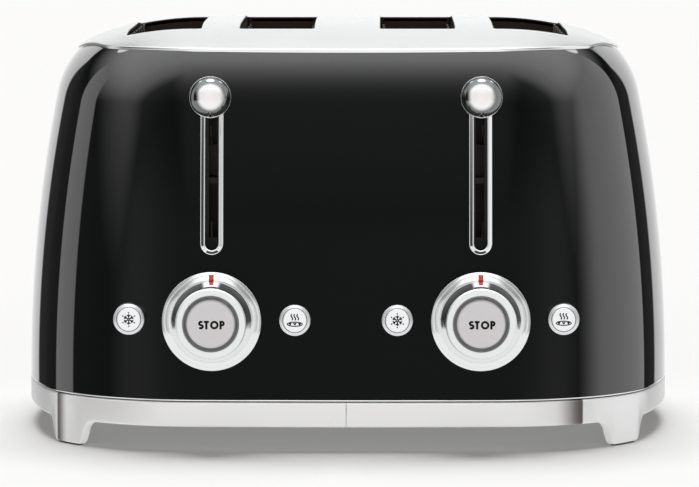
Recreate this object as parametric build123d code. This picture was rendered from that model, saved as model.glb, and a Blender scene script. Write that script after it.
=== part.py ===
"""A four-slice toaster: a drawn steel housing on a cast skirt, with two independent pairs of bread wells.

Millimetres, +Z up, the front towards -Y, left and right as the user sees them. The housing is worked out
about its own centre, and every piece is then moved along Y so that the whole object stands centred.
"""

from build123d import *
from math import asin, atan2, copysign, cos, degrees, radians, sin, sqrt, tan
import os

os.makedirs("parts", exist_ok=True)

# Housing outline in plan: four bowed sides joined by round corners
half_width = 170.0
half_depth = 160.0
front_bow_radius = 1950.0
side_bow_radius = 360.0
corner_radius = 86.0

# Housing sides: a long belly arc, then a tighter shoulder arc
belly_radius = 750.0
shoulder_radius = 46.0
shoulder_drop = 37.5
shell_wall = 1.5
shell_flange_width = 6.0

# Skirt, legs and the seams above it
pad_thickness = 0.7
skirt_bottom = 13.0
skirt_height = 12.8
skirt_wall = 5.0
skirt_seam = 0.3
ledge_width = 4.0
ledge_thickness = 2.5
ledge_rise = 2.5
leg_half_length = 12.0
leg_flare_angle = 20.0
leg_root_radius = 8.0
leg_toe_radius = 3.0
leg_direction = 35.5
pad_margin = 1.2
gasket_thickness = 0.45
gasket_recess = 0.8
trim_thickness = 0.75
trim_proud = 0.6
trim_width = 4.5

# Top plate: flat in the middle, rounded down along Y, and down across X with an easier round towards the ends
crown_height = 213.5
crown_flat_half_length = 36.0
crown_radius = 480.0
crown_flat_half_width = 84.0
crown_shoulder_radius = 112.0
crown_easing = 0.45
plate_thickness = 1.2
plate_inset = 25.4
plate_edge_radius = 0.6

# Bread wells
well_offsets = (36.5, 95.2)
well_half_width = 19.3
well_half_length = 78.0
well_corner_radius = 2.0
throat_wall = 0.8
throat_bottom = 190.0

# Chassis
sheet = 1.0
bulkhead_offset = 92.0
bulkhead_half_width = 132.0
bulkhead_bottom = 44.0
bulkhead_top = 192.0
bulkhead_leg_width = 13.0
centre_leg_half_width = 5.0
foot_tab_length = 12.0
shelf_depth = 30.0
shelf_half_width = 100.0
shield_offset = 130.0
pan_thickness = 2.0
pan_clearance = 0.3
vent_length = 60.0
vent_width = 3.0
vent_pitch = 14.0
vents_per_row = 7
slide_gap = 0.3
fit_gap = 0.05

# Screws through the base pan
screw_radius = 1.5
screw_head_radius = 3.0
screw_head_height = 2.2
screw_length = 6.5

# Heaters
card_thickness = 0.8
card_offset = 25.0
card_bottom = 76.0
card_height = 108.0
card_half_length = 84.0
card_tab_height = 12.0
card_tab_levels = (100.0, 150.0)
ribbon_width = 2.0
ribbon_thickness = 0.5
ribbon_rows = 9
ribbon_half_length = 70.0

# Bread guards
guard_offset = 15.0
guard_travel = 6.0
guard_rod_radius = 1.2
guard_wire_radius = 0.9
guard_bottom = 80.0
guard_top = 184.0
guard_wires = 6
guard_wire_span = 130.0
guard_flare = 2.6
guard_flare_height = 24.0
wire_sides = 6
rod_sides = 8
link_height = 4.0
link_rise = 2.6
link_tab_half_width = 1.6
guard_end_reach = 4.0

# Lever, carriage and racks
lever_offset = 68.0
lever_height = 181.0
lever_travel = 70.0
ball_radius = 10.45
ball_reach = 171.0
stud_radius = 2.5
stud_depth = 9.0
arm_thickness = 3.0
arm_height = 7.0
arm_reach = 160.3
carriage_offset = 104.0
carriage_half_width = 38.0
carriage_bottom = 134.0
carriage_height = 52.0
carriage_window_half_width = 8.0
carriage_window_height = 14.0
bush_width = 14.0
bush_depth = 16.0
bush_height = 10.0
rod_radius = 2.5
rod_shift = 20.0
rod_overhang = 3.0
spring_shift = 20.0
spring_radius = 4.0
spring_wire_radius = 0.6
spring_hook_length = 6.0
spring_lug_height = 2.4
spring_lug_level = 150.0
spring_axis_reach = 8.0
rack_level = 146.0
rack_height = 8.0
rack_thickness = 1.6
rack_bar_half_width = 7.5
rack_bar_length = 5.0
rack_bar_thickness = 1.2
rack_bars = 7
rack_bar_span = 132.0
keeper_half_width = 12.0
keeper_depth = 16.0
keeper_thickness = 3.0
magnet_pole_width = 6.0
magnet_foot_thickness = 2.0
magnet_foot_margin = 4.0
magnet_yoke_height = 8.0
magnet_coil_height = 18.0

# Slot in the front panel, its bezel and its channel
slot_half_width = 3.4
slot_bottom = 102.7
slot_top = 186.8
bezel_rim = 2.4
bezel_proud = 1.2
bezel_collar = 1.2
collar_depth = 1.5
channel_wall = 1.3
channel_flange = 3.0
channel_back = 130.0
channel_slit_half_width = 2.2

# Dials
dial_offset = 68.0
dial_height = 67.0
dial_reach = 160.6
dial_flange_radius = 25.1
dial_flange_height = 1.0
dial_step_radii = (23.1, 21.3)
dial_step_heights = (2.2, 4.2)
dial_barrel_radius = 20.2
dial_face_radius = 17.6
dial_depth = 13.6
dial_edge_radius = 1.5
dial_floor = 1.5
dial_gap = 0.25
hub_radius = 9.0
hub_wall = 1.95
hub_length = 13.5
seat_radius = 23.5
seat_bush_radius = 12.0
seat_bush_depth = 9.0
mark_half_width = 1.3
mark_inner_radius = 20.6
mark_outer_radius = 24.2
mark_thickness = 0.3

# Stop button and the fixed cup that carries it inside the dial
cup_radius = 14.2
cup_recess = 0.3
cup_back = 2.5
cup_floor = 2.5
stop_radius = 12.2
stop_thickness = 4.0
stop_proud = 0.6
stop_edge = 0.8
stop_travel = 2.0
stem_radius = 2.5
stalk_pocket_radius = 4.5
stalk_pocket_depth = 3.0

# Small buttons
button_height = 67.5
button_spacing = 42.1
button_radius = 6.1
button_gap = 0.1
button_proud = 0.6
button_thickness = 6.0
button_edge = 0.6
button_stem_radius = 2.0
button_travel = 1.5
sleeve_radius = 7.75
sleeve_collar_radius = 6.95
inner_sleeve_reach = 160.6
outer_sleeve_reach = 155.0
sleeve_back = 143.0

# Control board
board_reach = 138.8
board_thickness = 1.6
board_half_width = 119.0
board_bottom = 36.0
board_height = 60.0
switch_half_width = 2.5
switch_height = 1.0
encoder_radius = 11.0
encoder_clearance = 0.4
board_clip_half_width = 4.0
board_clip_depth = 7.0
board_clip_rise = 6.0
board_clip_offsets = (-100.0, 0.0, 100.0)

# Crumb trays
tray_offset = 66.0
tray_half_width = 50.0
tray_front = 84.0
tray_bottom = 30.4
tray_height = 8.6
tray_wall = 0.8
tray_opening_margin = 0.6
tray_lip_margin = 1.2
tray_lip_thickness = 1.3
runner_half_width = 1.0
runner_spacing = 80.0
pull_half_width = 20.0
pull_height = 4.0
pull_reach = 6.0
pull_edge_radius = 1.5

# Cord gland
gland_radius = 7.0
gland_flange_radius = 9.5
gland_bore_radius = 3.6
gland_height = 52.0
gland_proud = 2.5
gland_depth = 6.0


def crown_level(y):
    """The height of the top plate along its middle, at a place along Y."""
    beyond = max(abs(y) - crown_flat_half_length, 0)
    return crown_height - crown_radius + sqrt(crown_radius**2 - beyond**2)


# Levels and places that follow from the sizes above
skirt_top = skirt_bottom + skirt_height
trim_bottom = skirt_top + gasket_thickness
shell_bottom = trim_bottom + trim_thickness
shoulder_start = crown_height - shoulder_drop
pan_bottom = skirt_bottom + ledge_thickness + ledge_rise
pan_top = pan_bottom + pan_thickness
block_top = crown_level(half_depth - plate_inset) + plate_thickness
inner_bulkhead_face = bulkhead_offset - sheet
sides = {"left": -1, "right": 1}
rear_reach = half_depth + slide_gap + tray_lip_thickness + pull_reach
front_reach = ball_reach + ball_radius
frame_shift = (front_reach - rear_reach) / 2


def pillow(inset):
    """The four bowed sides alone, drawn in by inset, meeting at points."""
    front = Pos(0, front_bow_radius - half_depth) * Circle(front_bow_radius - inset)
    rear = Pos(0, half_depth - front_bow_radius) * Circle(front_bow_radius - inset)
    left = Pos(side_bow_radius - half_width, 0) * Circle(side_bow_radius - inset)
    right = Pos(half_width - side_bow_radius, 0) * Circle(side_bow_radius - inset)
    return front & rear & left & right


def plan(inset=0.0):
    """The housing outline, drawn in by inset all round."""
    outline = pillow(inset)
    return fillet(outline.vertices(), corner_radius - inset)


def plan_ring(outer_inset, inner_inset, low, high):
    """An upright ring that follows the housing outline."""
    ring = plan(outer_inset) - plan(inner_inset)
    return Pos(0, 0, low) * extrude(ring, amount=high - low)


def corner_centre():
    """The centre of the corner arc at the front right, from the two bow circles that it touches."""
    front_centre_y = front_bow_radius - half_depth
    side_centre_x = half_width - side_bow_radius
    to_front = front_bow_radius - corner_radius
    to_side = side_bow_radius - corner_radius
    span = sqrt(front_centre_y**2 + side_centre_x**2)
    along = (to_front**2 - to_side**2 + span**2) / (2 * span)
    across = sqrt(to_front**2 - along**2)
    ux, uy = side_centre_x / span, -front_centre_y / span
    first = (ux * along - uy * across, front_centre_y + uy * along + ux * across)
    second = (ux * along + uy * across, front_centre_y + uy * along - ux * across)
    return max(first, second, key=lambda point: point[0] - point[1])


def side_point(angle, centre_inset, centre_height, radius, outline_radius):
    """A point of the side profile, at an angle above level on one of its two arcs."""
    inset = centre_inset - radius * cos(angle)
    return outline_radius - inset, centre_height + radius * sin(angle)


def side_profile(outline_radius, inset):
    """The upright section of one side, from the outline arc's inner edge out to the belly and shoulder."""
    turn = asin((shoulder_start - shell_bottom) / belly_radius)
    belly = (belly_radius, shell_bottom, belly_radius - inset, outline_radius)
    shoulder_inset = belly_radius - (belly_radius - shoulder_radius) * cos(turn)
    shoulder_height = shell_bottom + (belly_radius - shoulder_radius) * sin(turn)
    shoulder = (shoulder_inset, shoulder_height, shoulder_radius - inset, outline_radius)
    last = asin((block_top - shoulder_height) / (shoulder_radius - inset))
    foot = side_point(0, *belly)
    join = side_point(turn, *belly)
    head = side_point(last, *shoulder)
    back = outline_radius - corner_radius
    belly_arc = ThreePointArc(foot, side_point(turn / 2, *belly), join)
    shoulder_arc = ThreePointArc(join, side_point((turn + last) / 2, *shoulder), head)
    rest = Polyline(head, (back, block_top), (back, shell_bottom), foot)
    return make_face(Curve() + [belly_arc, shoulder_arc, rest])


def side_sector(centre, outline_radius, start, sweep_angle, inset):
    """One stretch of the housing: its side section, turned about the centre of an outline arc."""
    section = Plane.XZ * side_profile(outline_radius, inset)
    return Pos(*centre, 0) * Rot(0, 0, start) * revolve(section, Axis.Z, sweep_angle)


def housing_block(inset=0.0):
    """The housing's outer form as one solid, drawn in by inset all round."""
    centre_x, centre_y = corner_centre()
    front_centre = (0, front_bow_radius - half_depth)
    side_centre = (half_width - side_bow_radius, 0)
    front_turn = degrees(atan2(centre_x, front_centre[1] - centre_y))
    side_turn = degrees(atan2(-centre_y, centre_x - side_centre[0]))
    front = side_sector(front_centre, front_bow_radius, -90 - front_turn, 2 * front_turn, inset)
    right = side_sector(side_centre, side_bow_radius, -side_turn, 2 * side_turn, inset)
    corner_turn = 90 - front_turn - side_turn
    corner = side_sector((centre_x, centre_y), corner_radius, front_turn - 90, corner_turn, inset)
    core = Pos(0, 0, shell_bottom) * extrude(pillow(corner_radius), amount=block_top - shell_bottom)
    half = front + corner + corner.mirror(Plane.YZ)
    return core + right + right.mirror(Plane.YZ) + half + half.mirror(Plane.XZ)


def crown_block(drop=0.0):
    """All that lies under the top plate's crowned surface, lowered by drop."""
    sections = []
    stations = 4
    for i in range(-stations, stations + 1):
        y = half_depth * i / stations
        level = crown_level(y) - drop
        radius = crown_shoulder_radius / (1 - crown_easing * (y / half_depth) ** 2)
        run = half_width - crown_flat_half_width
        edge_level = level - radius + sqrt(radius**2 - run**2)
        middle = run / 2
        middle_level = level - radius + sqrt(radius**2 - middle**2)
        top = Line((-crown_flat_half_width, level), (crown_flat_half_width, level))
        right = ThreePointArc(
            (crown_flat_half_width, level),
            (crown_flat_half_width + middle, middle_level),
            (half_width, edge_level),
        )
        left = ThreePointArc(
            (-half_width, edge_level),
            (-crown_flat_half_width - middle, middle_level),
            (-crown_flat_half_width, level),
        )
        walls = Polyline(
            (half_width, edge_level),
            (half_width, shell_bottom),
            (-half_width, shell_bottom),
            (-half_width, edge_level),
        )
        face = make_face(Curve() + [left, top, right, walls])
        sections.append(Plane(origin=(0, y, 0), x_dir=(1, 0, 0), z_dir=(0, -1, 0)) * face)
    return loft(sections)


def upright_slot(x, half, low, high, near, far):
    """A round-ended upright slot, cut along Y from near to far in front of the centre."""
    height = high - low
    shape = SlotOverall(height, 2 * half, rotation=90)
    place = Plane(origin=(x, -near, (low + high) / 2), x_dir=(1, 0, 0), z_dir=(0, -1, 0))
    return extrude(place * shape, amount=far - near)


def box(x, y, z):
    """A box given by its low and high values along each axis."""
    size = [pair[1] - pair[0] for pair in (x, y, z)]
    low = (x[0], y[0], z[0])
    return Pos(*low) * Box(*size, align=(Align.MIN, Align.MIN, Align.MIN))


def front_disc(x, z, radius, near, far):
    """A cylinder along Y, from near to far in front of the centre."""
    place = Plane(origin=(x, -near, z), x_dir=(1, 0, 0), z_dir=(0, -1, 0))
    return extrude(place * Circle(radius), amount=far - near)


def upright_disc(x, y, radius, low, high):
    """An upright cylinder."""
    return Pos(x, y, low) * extrude(Circle(radius), amount=high - low)


def facing_front(x, z, reach, shape):
    """Places a shape made along +Z so that it faces the user, with its base at reach."""
    return Pos(x, -reach, z) * Rot(90, 0, 0) * shape


outer_block = housing_block()
inner_block = housing_block(shell_wall)
crown = crown_block()
crown_underside = crown_block(plate_thickness)
button_places = {
    "defrost_button_left": (-dial_offset - button_spacing, outer_sleeve_reach),
    "reheat_button_left": (-dial_offset + button_spacing, inner_sleeve_reach),
    "defrost_button_right": (dial_offset - button_spacing, inner_sleeve_reach),
    "reheat_button_right": (dial_offset + button_spacing, outer_sleeve_reach),
}


def well_centres(side):
    """The X places of the two bread wells on one side."""
    return [side * offset for offset in well_offsets]


def housing_shell():
    """The drawn steel shell, with the openings for levers, dials, buttons, trays and cord."""
    shell = outer_block - inner_block
    flange_inner = shell_wall + shell_flange_width
    shell += plan_ring(shell_wall / 2, flange_inner, shell_bottom, shell_bottom + shell_wall)
    shell &= crown_underside
    for side in sides.values():
        x = side * lever_offset
        half = slot_half_width + bezel_collar
        low, high = slot_bottom - bezel_collar, slot_top + bezel_collar
        shell -= upright_slot(x, half, low, high, channel_back, ball_reach)
        bush = seat_bush_radius + fit_gap
        shell -= front_disc(side * dial_offset, dial_height, bush, board_reach, dial_reach)
        left = side * tray_offset - tray_half_width - tray_opening_margin
        right = side * tray_offset + tray_half_width + tray_opening_margin
        low, high = tray_bottom - tray_opening_margin, tray_bottom + tray_height + tray_opening_margin
        shell -= box((left, right), (tray_front, half_depth + trim_width), (low, high))
    for x, reach in button_places.values():
        shell -= front_disc(x, button_height, sleeve_collar_radius + fit_gap, board_reach, reach)
    shell -= front_disc(0, gland_height, gland_radius + fit_gap, -half_depth - gland_proud, -bulkhead_offset)
    return shell


def plate_sheet():
    """The crowned sheet of the top plate, before its bread slots are cut."""
    edge = extrude(plan(plate_inset), amount=crown_height)
    return (crown - crown_underside) & edge


def top_plate():
    """The crowned plate with the four bread slots."""
    plate = plate_sheet()
    for side in sides.values():
        for x in well_centres(side):
            slot = RectangleRounded(2 * well_half_width, 2 * well_half_length, well_corner_radius)
            plate -= Pos(x, 0, 0) * extrude(slot, amount=crown_height)
    return plate


def slot_throats():
    """Sheet throats that hang under the plate and lead the bread into the wells."""
    throats = []
    for side in sides.values():
        for x in well_centres(side):
            inner = RectangleRounded(2 * well_half_width, 2 * well_half_length, well_corner_radius)
            outer = offset(inner, throat_wall)
            tube = Pos(x, 0, throat_bottom) * extrude(outer - inner, amount=crown_height - throat_bottom)
            throats.append(tube & crown_underside)
    return throats


def leg_blank(direction):
    """The side view of a leg, extruded through the skirt at the middle of a corner."""
    reach = half_width + half_depth
    half_top = leg_half_length + (skirt_bottom - pad_thickness) * tan(radians(leg_flare_angle))
    half_band = half_top + 2 * leg_root_radius
    level = skirt_bottom + ledge_thickness / 2
    corners = [
        (-leg_half_length, pad_thickness),
        (leg_half_length, pad_thickness),
        (half_top, skirt_bottom),
        (half_band, skirt_bottom),
        (half_band, level),
        (-half_band, level),
        (-half_band, skirt_bottom),
        (-half_top, skirt_bottom),
    ]
    face = make_face(Polyline(*corners, close=True))
    toes = [v for v in face.vertices() if v.Y < (pad_thickness + skirt_bottom) / 2]
    face = fillet(toes, leg_toe_radius)
    inner = [v for v in face.vertices() if abs(v.X) < half_band - fit_gap]
    roots = [v for v in inner if abs(v.Y - skirt_bottom) < fit_gap]
    face = fillet(roots, leg_root_radius)
    outward = (cos(radians(direction)), -sin(radians(direction)), 0)
    across = (sin(radians(direction)), cos(radians(direction)), 0)
    centre_x, centre_y = corner_centre()
    place = Plane(origin=(centre_x, centre_y, 0), x_dir=across, z_dir=outward)
    return extrude(place * face, amount=reach)


def skirt():
    """The whole cast skirt: band, inner ledge and four legs."""
    band = plan_ring(0, skirt_wall, skirt_bottom, skirt_top)
    ledge = plan_ring(skirt_wall, skirt_wall + ledge_width, pan_bottom - ledge_thickness, pan_bottom)
    leg_ring = plan_ring(0, skirt_wall, pad_thickness, skirt_bottom + ledge_thickness / 2)
    leg = leg_blank(leg_direction) & leg_ring
    pair = leg + leg.mirror(Plane.YZ)
    return band + ledge + pair + pair.mirror(Plane.XZ)


def skirt_half(side):
    """One half of the skirt, up to the seam at the middle."""
    seam = skirt_seam / 2
    reach = half_width + trim_width
    x = (seam, reach) if side > 0 else (-reach, -seam)
    return skirt() & box(x, (-reach, reach), (0, crown_height))


def foot_pads():
    """Thin rubber pads under the four legs."""
    ring = plan_ring(pad_margin, skirt_wall - pad_margin, 0, pad_thickness)
    centre_x, centre_y = corner_centre()
    half = leg_half_length - leg_toe_radius
    bar = box((0, half_width), (-half, half), (0, pad_thickness))
    pad = ring & (Pos(centre_x, centre_y, 0) * Rot(0, 0, -leg_direction) * bar)
    return [pad, pad.mirror(Plane.YZ), pad.mirror(Plane.XZ), pad.mirror(Plane.XZ).mirror(Plane.YZ)]


def screw_places():
    """Where the base screws stand: three through the foot tabs of each bulkhead."""
    row = bulkhead_offset + foot_tab_length / 2
    outer = bulkhead_half_width - bulkhead_leg_width / 2
    return [(x, y) for x in (-outer, 0, outer) for y in (-row, row)]


def base_pan():
    """The pan that closes the base, with vents, tray runners and board clips."""
    pan = Pos(0, 0, pan_bottom) * extrude(plan(skirt_wall + pan_clearance), amount=pan_thickness)
    for side in sides.values():
        for i in range(vents_per_row):
            y = vent_pitch * (i - (vents_per_row - 1) / 2)
            pan -= Pos(side * tray_offset, y, pan_bottom) * extrude(
                SlotOverall(vent_length, vent_width), amount=pan_thickness
            )
        for shift in (-runner_spacing / 2, runner_spacing / 2):
            x = side * tray_offset + shift
            rail = box((x - runner_half_width, x + runner_half_width), (-tray_front, tray_front),
                       (pan_top, tray_bottom - slide_gap))
            pan += rail
    for x, y in screw_places():
        pan -= upright_disc(x, y, screw_radius + fit_gap, pan_bottom, pan_top)
    for x in board_clip_offsets:
        middle = -board_reach + board_thickness / 2
        clip = box((x - board_clip_half_width, x + board_clip_half_width),
                   (middle - board_clip_depth / 2, middle + board_clip_depth / 2),
                   (pan_top, board_bottom + board_clip_rise))
        slit = box((x - board_clip_half_width, x + board_clip_half_width),
                   (-board_reach - fit_gap, -board_reach + board_thickness + fit_gap),
                   (board_bottom, board_bottom + board_clip_rise))
        pan += clip - slit
    return pan


def base_screws():
    """Pan-head screws through the base pan."""
    screws = []
    for x, y in screw_places():
        head = upright_disc(x, y, screw_head_radius, pan_bottom - screw_head_height, pan_bottom)
        screws.append(head + upright_disc(x, y, screw_radius, pan_bottom, pan_bottom + screw_length))
    return screws


def bulkhead(facing):
    """A chassis wall across the housing: facing is -1 for the front one and 1 for the rear one."""
    near, far = sorted((facing * inner_bulkhead_face, facing * bulkhead_offset))
    wall = box((-bulkhead_half_width, bulkhead_half_width), (near, far), (bulkhead_bottom, bulkhead_top))
    legs = [(-bulkhead_half_width, bulkhead_leg_width - bulkhead_half_width),
            (-centre_leg_half_width, centre_leg_half_width),
            (bulkhead_half_width - bulkhead_leg_width, bulkhead_half_width)]
    tab_end = facing * (bulkhead_offset + foot_tab_length)
    tab_y = tuple(sorted((facing * inner_bulkhead_face, tab_end)))
    for leg in legs:
        wall += box(leg, (near, far), (pan_top, bulkhead_bottom))
        wall += box(leg, tab_y, (pan_top, pan_top + sheet))
    for x, y in screw_places():
        if y * facing > 0:
            wall -= upright_disc(x, y, screw_radius + fit_gap, pan_top, pan_top + sheet)
    depth = (near - sheet, far + sheet)
    for side in sides.values():
        for x in well_centres(side):
            half = rack_thickness / 2 + slide_gap
            low = rack_level - rack_height - lever_travel - slide_gap
            wall -= box((x - half, x + half), depth, (low, rack_level + slide_gap))
            for toward in (-1, 1):
                wall -= guard_windows(x, toward, depth)
                wall -= card_windows(x + toward * card_offset, depth)
    return wall


def guard_windows(x, toward, depth):
    """The two slots in a bulkhead that carry one guard grid, between its open and closed places."""
    rim = guard_rod_radius + slide_gap
    open_x = x + toward * guard_offset
    shut_x = open_x - toward * guard_travel
    low_x, high_x = sorted((open_x, shut_x))
    windows = Part()
    for level in (guard_bottom, guard_top):
        windows += box((low_x - rim, high_x + rim), depth, (level - rim, level + rim))
    return windows


def card_windows(x, depth):
    """The two slots in a bulkhead that hold the tabs of one heater card."""
    half = card_thickness / 2 + fit_gap
    windows = Part()
    for level in card_tab_levels:
        windows += box((x - half, x + half), depth, (level - fit_gap, level + card_tab_height + fit_gap))
    return windows


def front_bulkhead():
    """The front chassis wall, with the shelf that holds the guide rods and springs."""
    wall = bulkhead(-1)
    shelf_front = -bulkhead_offset - shelf_depth
    wall += box((-shelf_half_width, shelf_half_width), (shelf_front, -inner_bulkhead_face),
                (bulkhead_top, bulkhead_top + sheet))
    for side in sides.values():
        x, y = rod_place(side)
        wall -= upright_disc(x, y, rod_radius + fit_gap, bulkhead_top, bulkhead_top + sheet)
    return wall


def rod_place(side):
    """Where the guide rod of one carriage stands."""
    return side * lever_offset - side * rod_shift, -carriage_offset - sheet - bush_depth / 2


def heat_shields():
    """Bright sheets between the outer heaters and the housing."""
    shields = []
    for side in sides.values():
        x = side * shield_offset
        shields.append(box((x - sheet / 2, x + sheet / 2), (-inner_bulkhead_face, inner_bulkhead_face),
                           (bulkhead_bottom, throat_bottom)))
    return shields


def centre_shield():
    """The sheet that parts the left wells from the right ones."""
    return box((-sheet / 2, sheet / 2), (-inner_bulkhead_face, inner_bulkhead_face),
               (bulkhead_bottom, throat_bottom))


def card_places(side):
    """The X places of the four heater cards on one side, each with the way that its ribbon faces."""
    return [(x + toward * card_offset, -toward) for x in well_centres(side) for toward in (-1, 1)]


def heater_cards(side):
    """Mica cards, with two tabs at each end that sit in the bulkheads."""
    cards = []
    for x, _ in card_places(side):
        across = (x - card_thickness / 2, x + card_thickness / 2)
        card = box(across, (-card_half_length, card_half_length), (card_bottom, card_bottom + card_height))
        for level in card_tab_levels:
            card += box(across, (-bulkhead_offset, bulkhead_offset), (level, level + card_tab_height))
        cards.append(card)
    return cards


def heater_ribbons(side):
    """One flat heating ribbon on each card, laid back and forth over the side that faces the bread."""
    ribbons = []
    pitch = card_height / (ribbon_rows + 1)
    for x, facing in card_places(side):
        face = x + facing * card_thickness / 2
        across = tuple(sorted((face, face + facing * ribbon_thickness)))
        ribbon = Part()
        for row in range(ribbon_rows):
            low = card_bottom + pitch * (row + 1) - ribbon_width / 2
            ribbon += box(across, (-ribbon_half_length, ribbon_half_length), (low, low + ribbon_width))
            if row:
                end = ribbon_half_length if row % 2 else -ribbon_half_length
                turn = tuple(sorted((end, end - ribbon_width * end / ribbon_half_length)))
                ribbon += box(across, turn, (low - pitch, low + ribbon_width))
        ribbons.append(ribbon)
    return ribbons


def guard_wire(place, y, toward):
    """One upright wire of a grid, leaning away from the bread at the mouth of the well."""
    path = Polyline(
        (place, y, guard_bottom),
        (place, y, guard_top),
        (place + toward * guard_flare, y, guard_top + guard_flare_height),
    )
    start = Plane(origin=(place, y, guard_bottom), z_dir=(0, 0, 1))
    return sweep(start * RegularPolygon(guard_wire_radius, wire_sides), path, transition=Transition.RIGHT)


def guard_grid(x, toward):
    """One wire grid beside the bread: two rods that run back from the link, joined by upright wires."""
    end = bulkhead_offset + guard_end_reach
    place = x + toward * guard_offset
    grid = Part()
    for level in (guard_bottom, guard_top):
        start = Plane(origin=(place, end, level), x_dir=(1, 0, 0), z_dir=(0, -1, 0))
        grid += extrude(start * RegularPolygon(guard_rod_radius, rod_sides), amount=2 * end - sheet)
    for i in range(guard_wires):
        y = guard_wire_span * (i / (guard_wires - 1) - 0.5)
        grid += guard_wire(place, y, toward)
    return grid


def bread_guards(side, toward):
    """A link strip outside the front bulkhead, and the two grids whose rods are welded to its tabs."""
    centres = sorted(well_centres(side))
    rods = [x + toward * guard_offset for x in centres]
    front, back = -bulkhead_offset - guard_end_reach, -bulkhead_offset - guard_end_reach + sheet
    rise = link_rise if toward < 0 else -link_rise - link_height
    low = guard_top + rise
    link = box((rods[0] - link_tab_half_width, rods[1] + link_tab_half_width), (front, back),
               (low, low + link_height))
    for x in rods:
        tab = sorted((guard_top - copysign(guard_rod_radius, rise), low + link_height / 2))
        link += box((x - link_tab_half_width, x + link_tab_half_width), (front, back), tuple(tab))
    return [link, guard_grid(centres[0], toward), guard_grid(centres[1], toward)]


def bread_racks(side):
    """The racks that the bread stands on, one in each well of a pair."""
    racks = []
    for x in well_centres(side):
        rear = bulkhead_offset + guard_end_reach
        blade = box((x - rack_thickness / 2, x + rack_thickness / 2), (-carriage_offset, rear),
                    (rack_level - rack_height, rack_level))
        for i in range(rack_bars):
            y = rack_bar_span * (i / (rack_bars - 1) - 0.5)
            blade += box((x - rack_bar_half_width, x + rack_bar_half_width),
                         (y - rack_bar_length / 2, y + rack_bar_length / 2),
                         (rack_level - rack_bar_thickness, rack_level))
        racks.append(blade)
    return racks


def carriage(side):
    """The plate that carries both racks, with bushes on the guide rod and a lug for the spring."""
    x = side * lever_offset
    top = carriage_bottom + carriage_height
    front = -carriage_offset - sheet
    plate = box((x - carriage_half_width, x + carriage_half_width), (front, -carriage_offset),
                (carriage_bottom, top))
    middle = carriage_bottom + carriage_height / 2
    plate -= box((x - carriage_window_half_width, x + carriage_window_half_width), (front, -carriage_offset),
                 (middle - carriage_window_height / 2, middle + carriage_window_height / 2))
    rod_x, rod_y = rod_place(side)
    for low in (carriage_bottom, top - bush_height):
        plate += box((rod_x - bush_width / 2, rod_x + bush_width / 2), (front - bush_depth, front),
                     (low, low + bush_height))
    plate -= upright_disc(rod_x, rod_y, rod_radius + fit_gap, carriage_bottom, top)
    lug_x = x + side * spring_shift
    half = spring_radius + spring_wire_radius
    plate += box((lug_x - half, lug_x + half), (front - spring_axis_reach - half, front),
                 (spring_lug_level, spring_lug_level + spring_lug_height))
    return plate


def lever_arm(side):
    """The flat bar from the carriage to the ball, ending in a round stud."""
    x = side * lever_offset
    half = arm_thickness / 2
    bar = box((x - half, x + half), (-arm_reach, -carriage_offset - sheet),
              (lever_height - arm_height / 2, lever_height + arm_height / 2))
    return bar + front_disc(x, lever_height, stud_radius, arm_reach, arm_reach + stud_depth)


def ball_knob(side):
    """The ball on the lever's stud, with a small flat where the bar ends."""
    x = side * lever_offset
    ball = Pos(x, -ball_reach, lever_height) * Sphere(ball_radius)
    flat = arm_reach + fit_gap
    ball -= front_disc(x, lever_height, ball_radius, flat - ball_radius, flat)
    return ball - front_disc(x, lever_height, stud_radius + fit_gap, flat - fit_gap, arm_reach + stud_depth)


def keeper(side):
    """The iron plate under the carriage that the magnet holds."""
    x = side * lever_offset
    rear = -carriage_offset - sheet
    return box((x - keeper_half_width, x + keeper_half_width), (rear - keeper_depth, rear),
               (carriage_bottom, carriage_bottom + keeper_thickness))


def holding_magnet(side):
    """The electromagnet on the base pan: a U-shaped core with a coil between its poles."""
    x = side * lever_offset
    rear = -carriage_offset - sheet
    y = (rear - keeper_depth, rear)
    top = carriage_bottom - lever_travel - slide_gap
    half_foot = keeper_half_width + magnet_foot_margin
    yoke_bottom = pan_top + magnet_foot_thickness
    core = box((x - half_foot, x + half_foot), y, (pan_top, yoke_bottom))
    core += box((x - keeper_half_width, x + keeper_half_width), y,
                (yoke_bottom, yoke_bottom + magnet_yoke_height))
    for toward in (-1, 1):
        outer = x + toward * keeper_half_width
        pole = tuple(sorted((outer, outer - toward * magnet_pole_width)))
        core += box(pole, y, (yoke_bottom, top))
    inner = keeper_half_width - magnet_pole_width
    coil_low = yoke_bottom + magnet_yoke_height
    return core + box((x - inner, x + inner), y, (coil_low, coil_low + magnet_coil_height))


def guide_rods():
    """The upright rods that the carriages slide on."""
    rods = []
    for side in sides.values():
        x, y = rod_place(side)
        rods.append(upright_disc(x, y, rod_radius, pan_top, bulkhead_top + rod_overhang))
    return rods


def return_spring(side):
    """The extension spring from the carriage's lug to the shelf: a closed coil, with a hook at each end."""
    x = side * (lever_offset + spring_shift)
    y = -carriage_offset - sheet - spring_axis_reach
    low = spring_lug_level + spring_lug_height
    coil_low, coil_top = low + spring_hook_length, bulkhead_top - spring_hook_length
    coil = upright_disc(x, y, spring_radius, coil_low, coil_top)
    coil -= upright_disc(x, y, spring_radius - 2 * spring_wire_radius, coil_low, coil_top)
    hook_x = x + spring_radius - spring_wire_radius
    for level in (low, coil_top):
        coil += upright_disc(hook_x, y, spring_wire_radius, level, level + spring_hook_length)
    return coil


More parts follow.
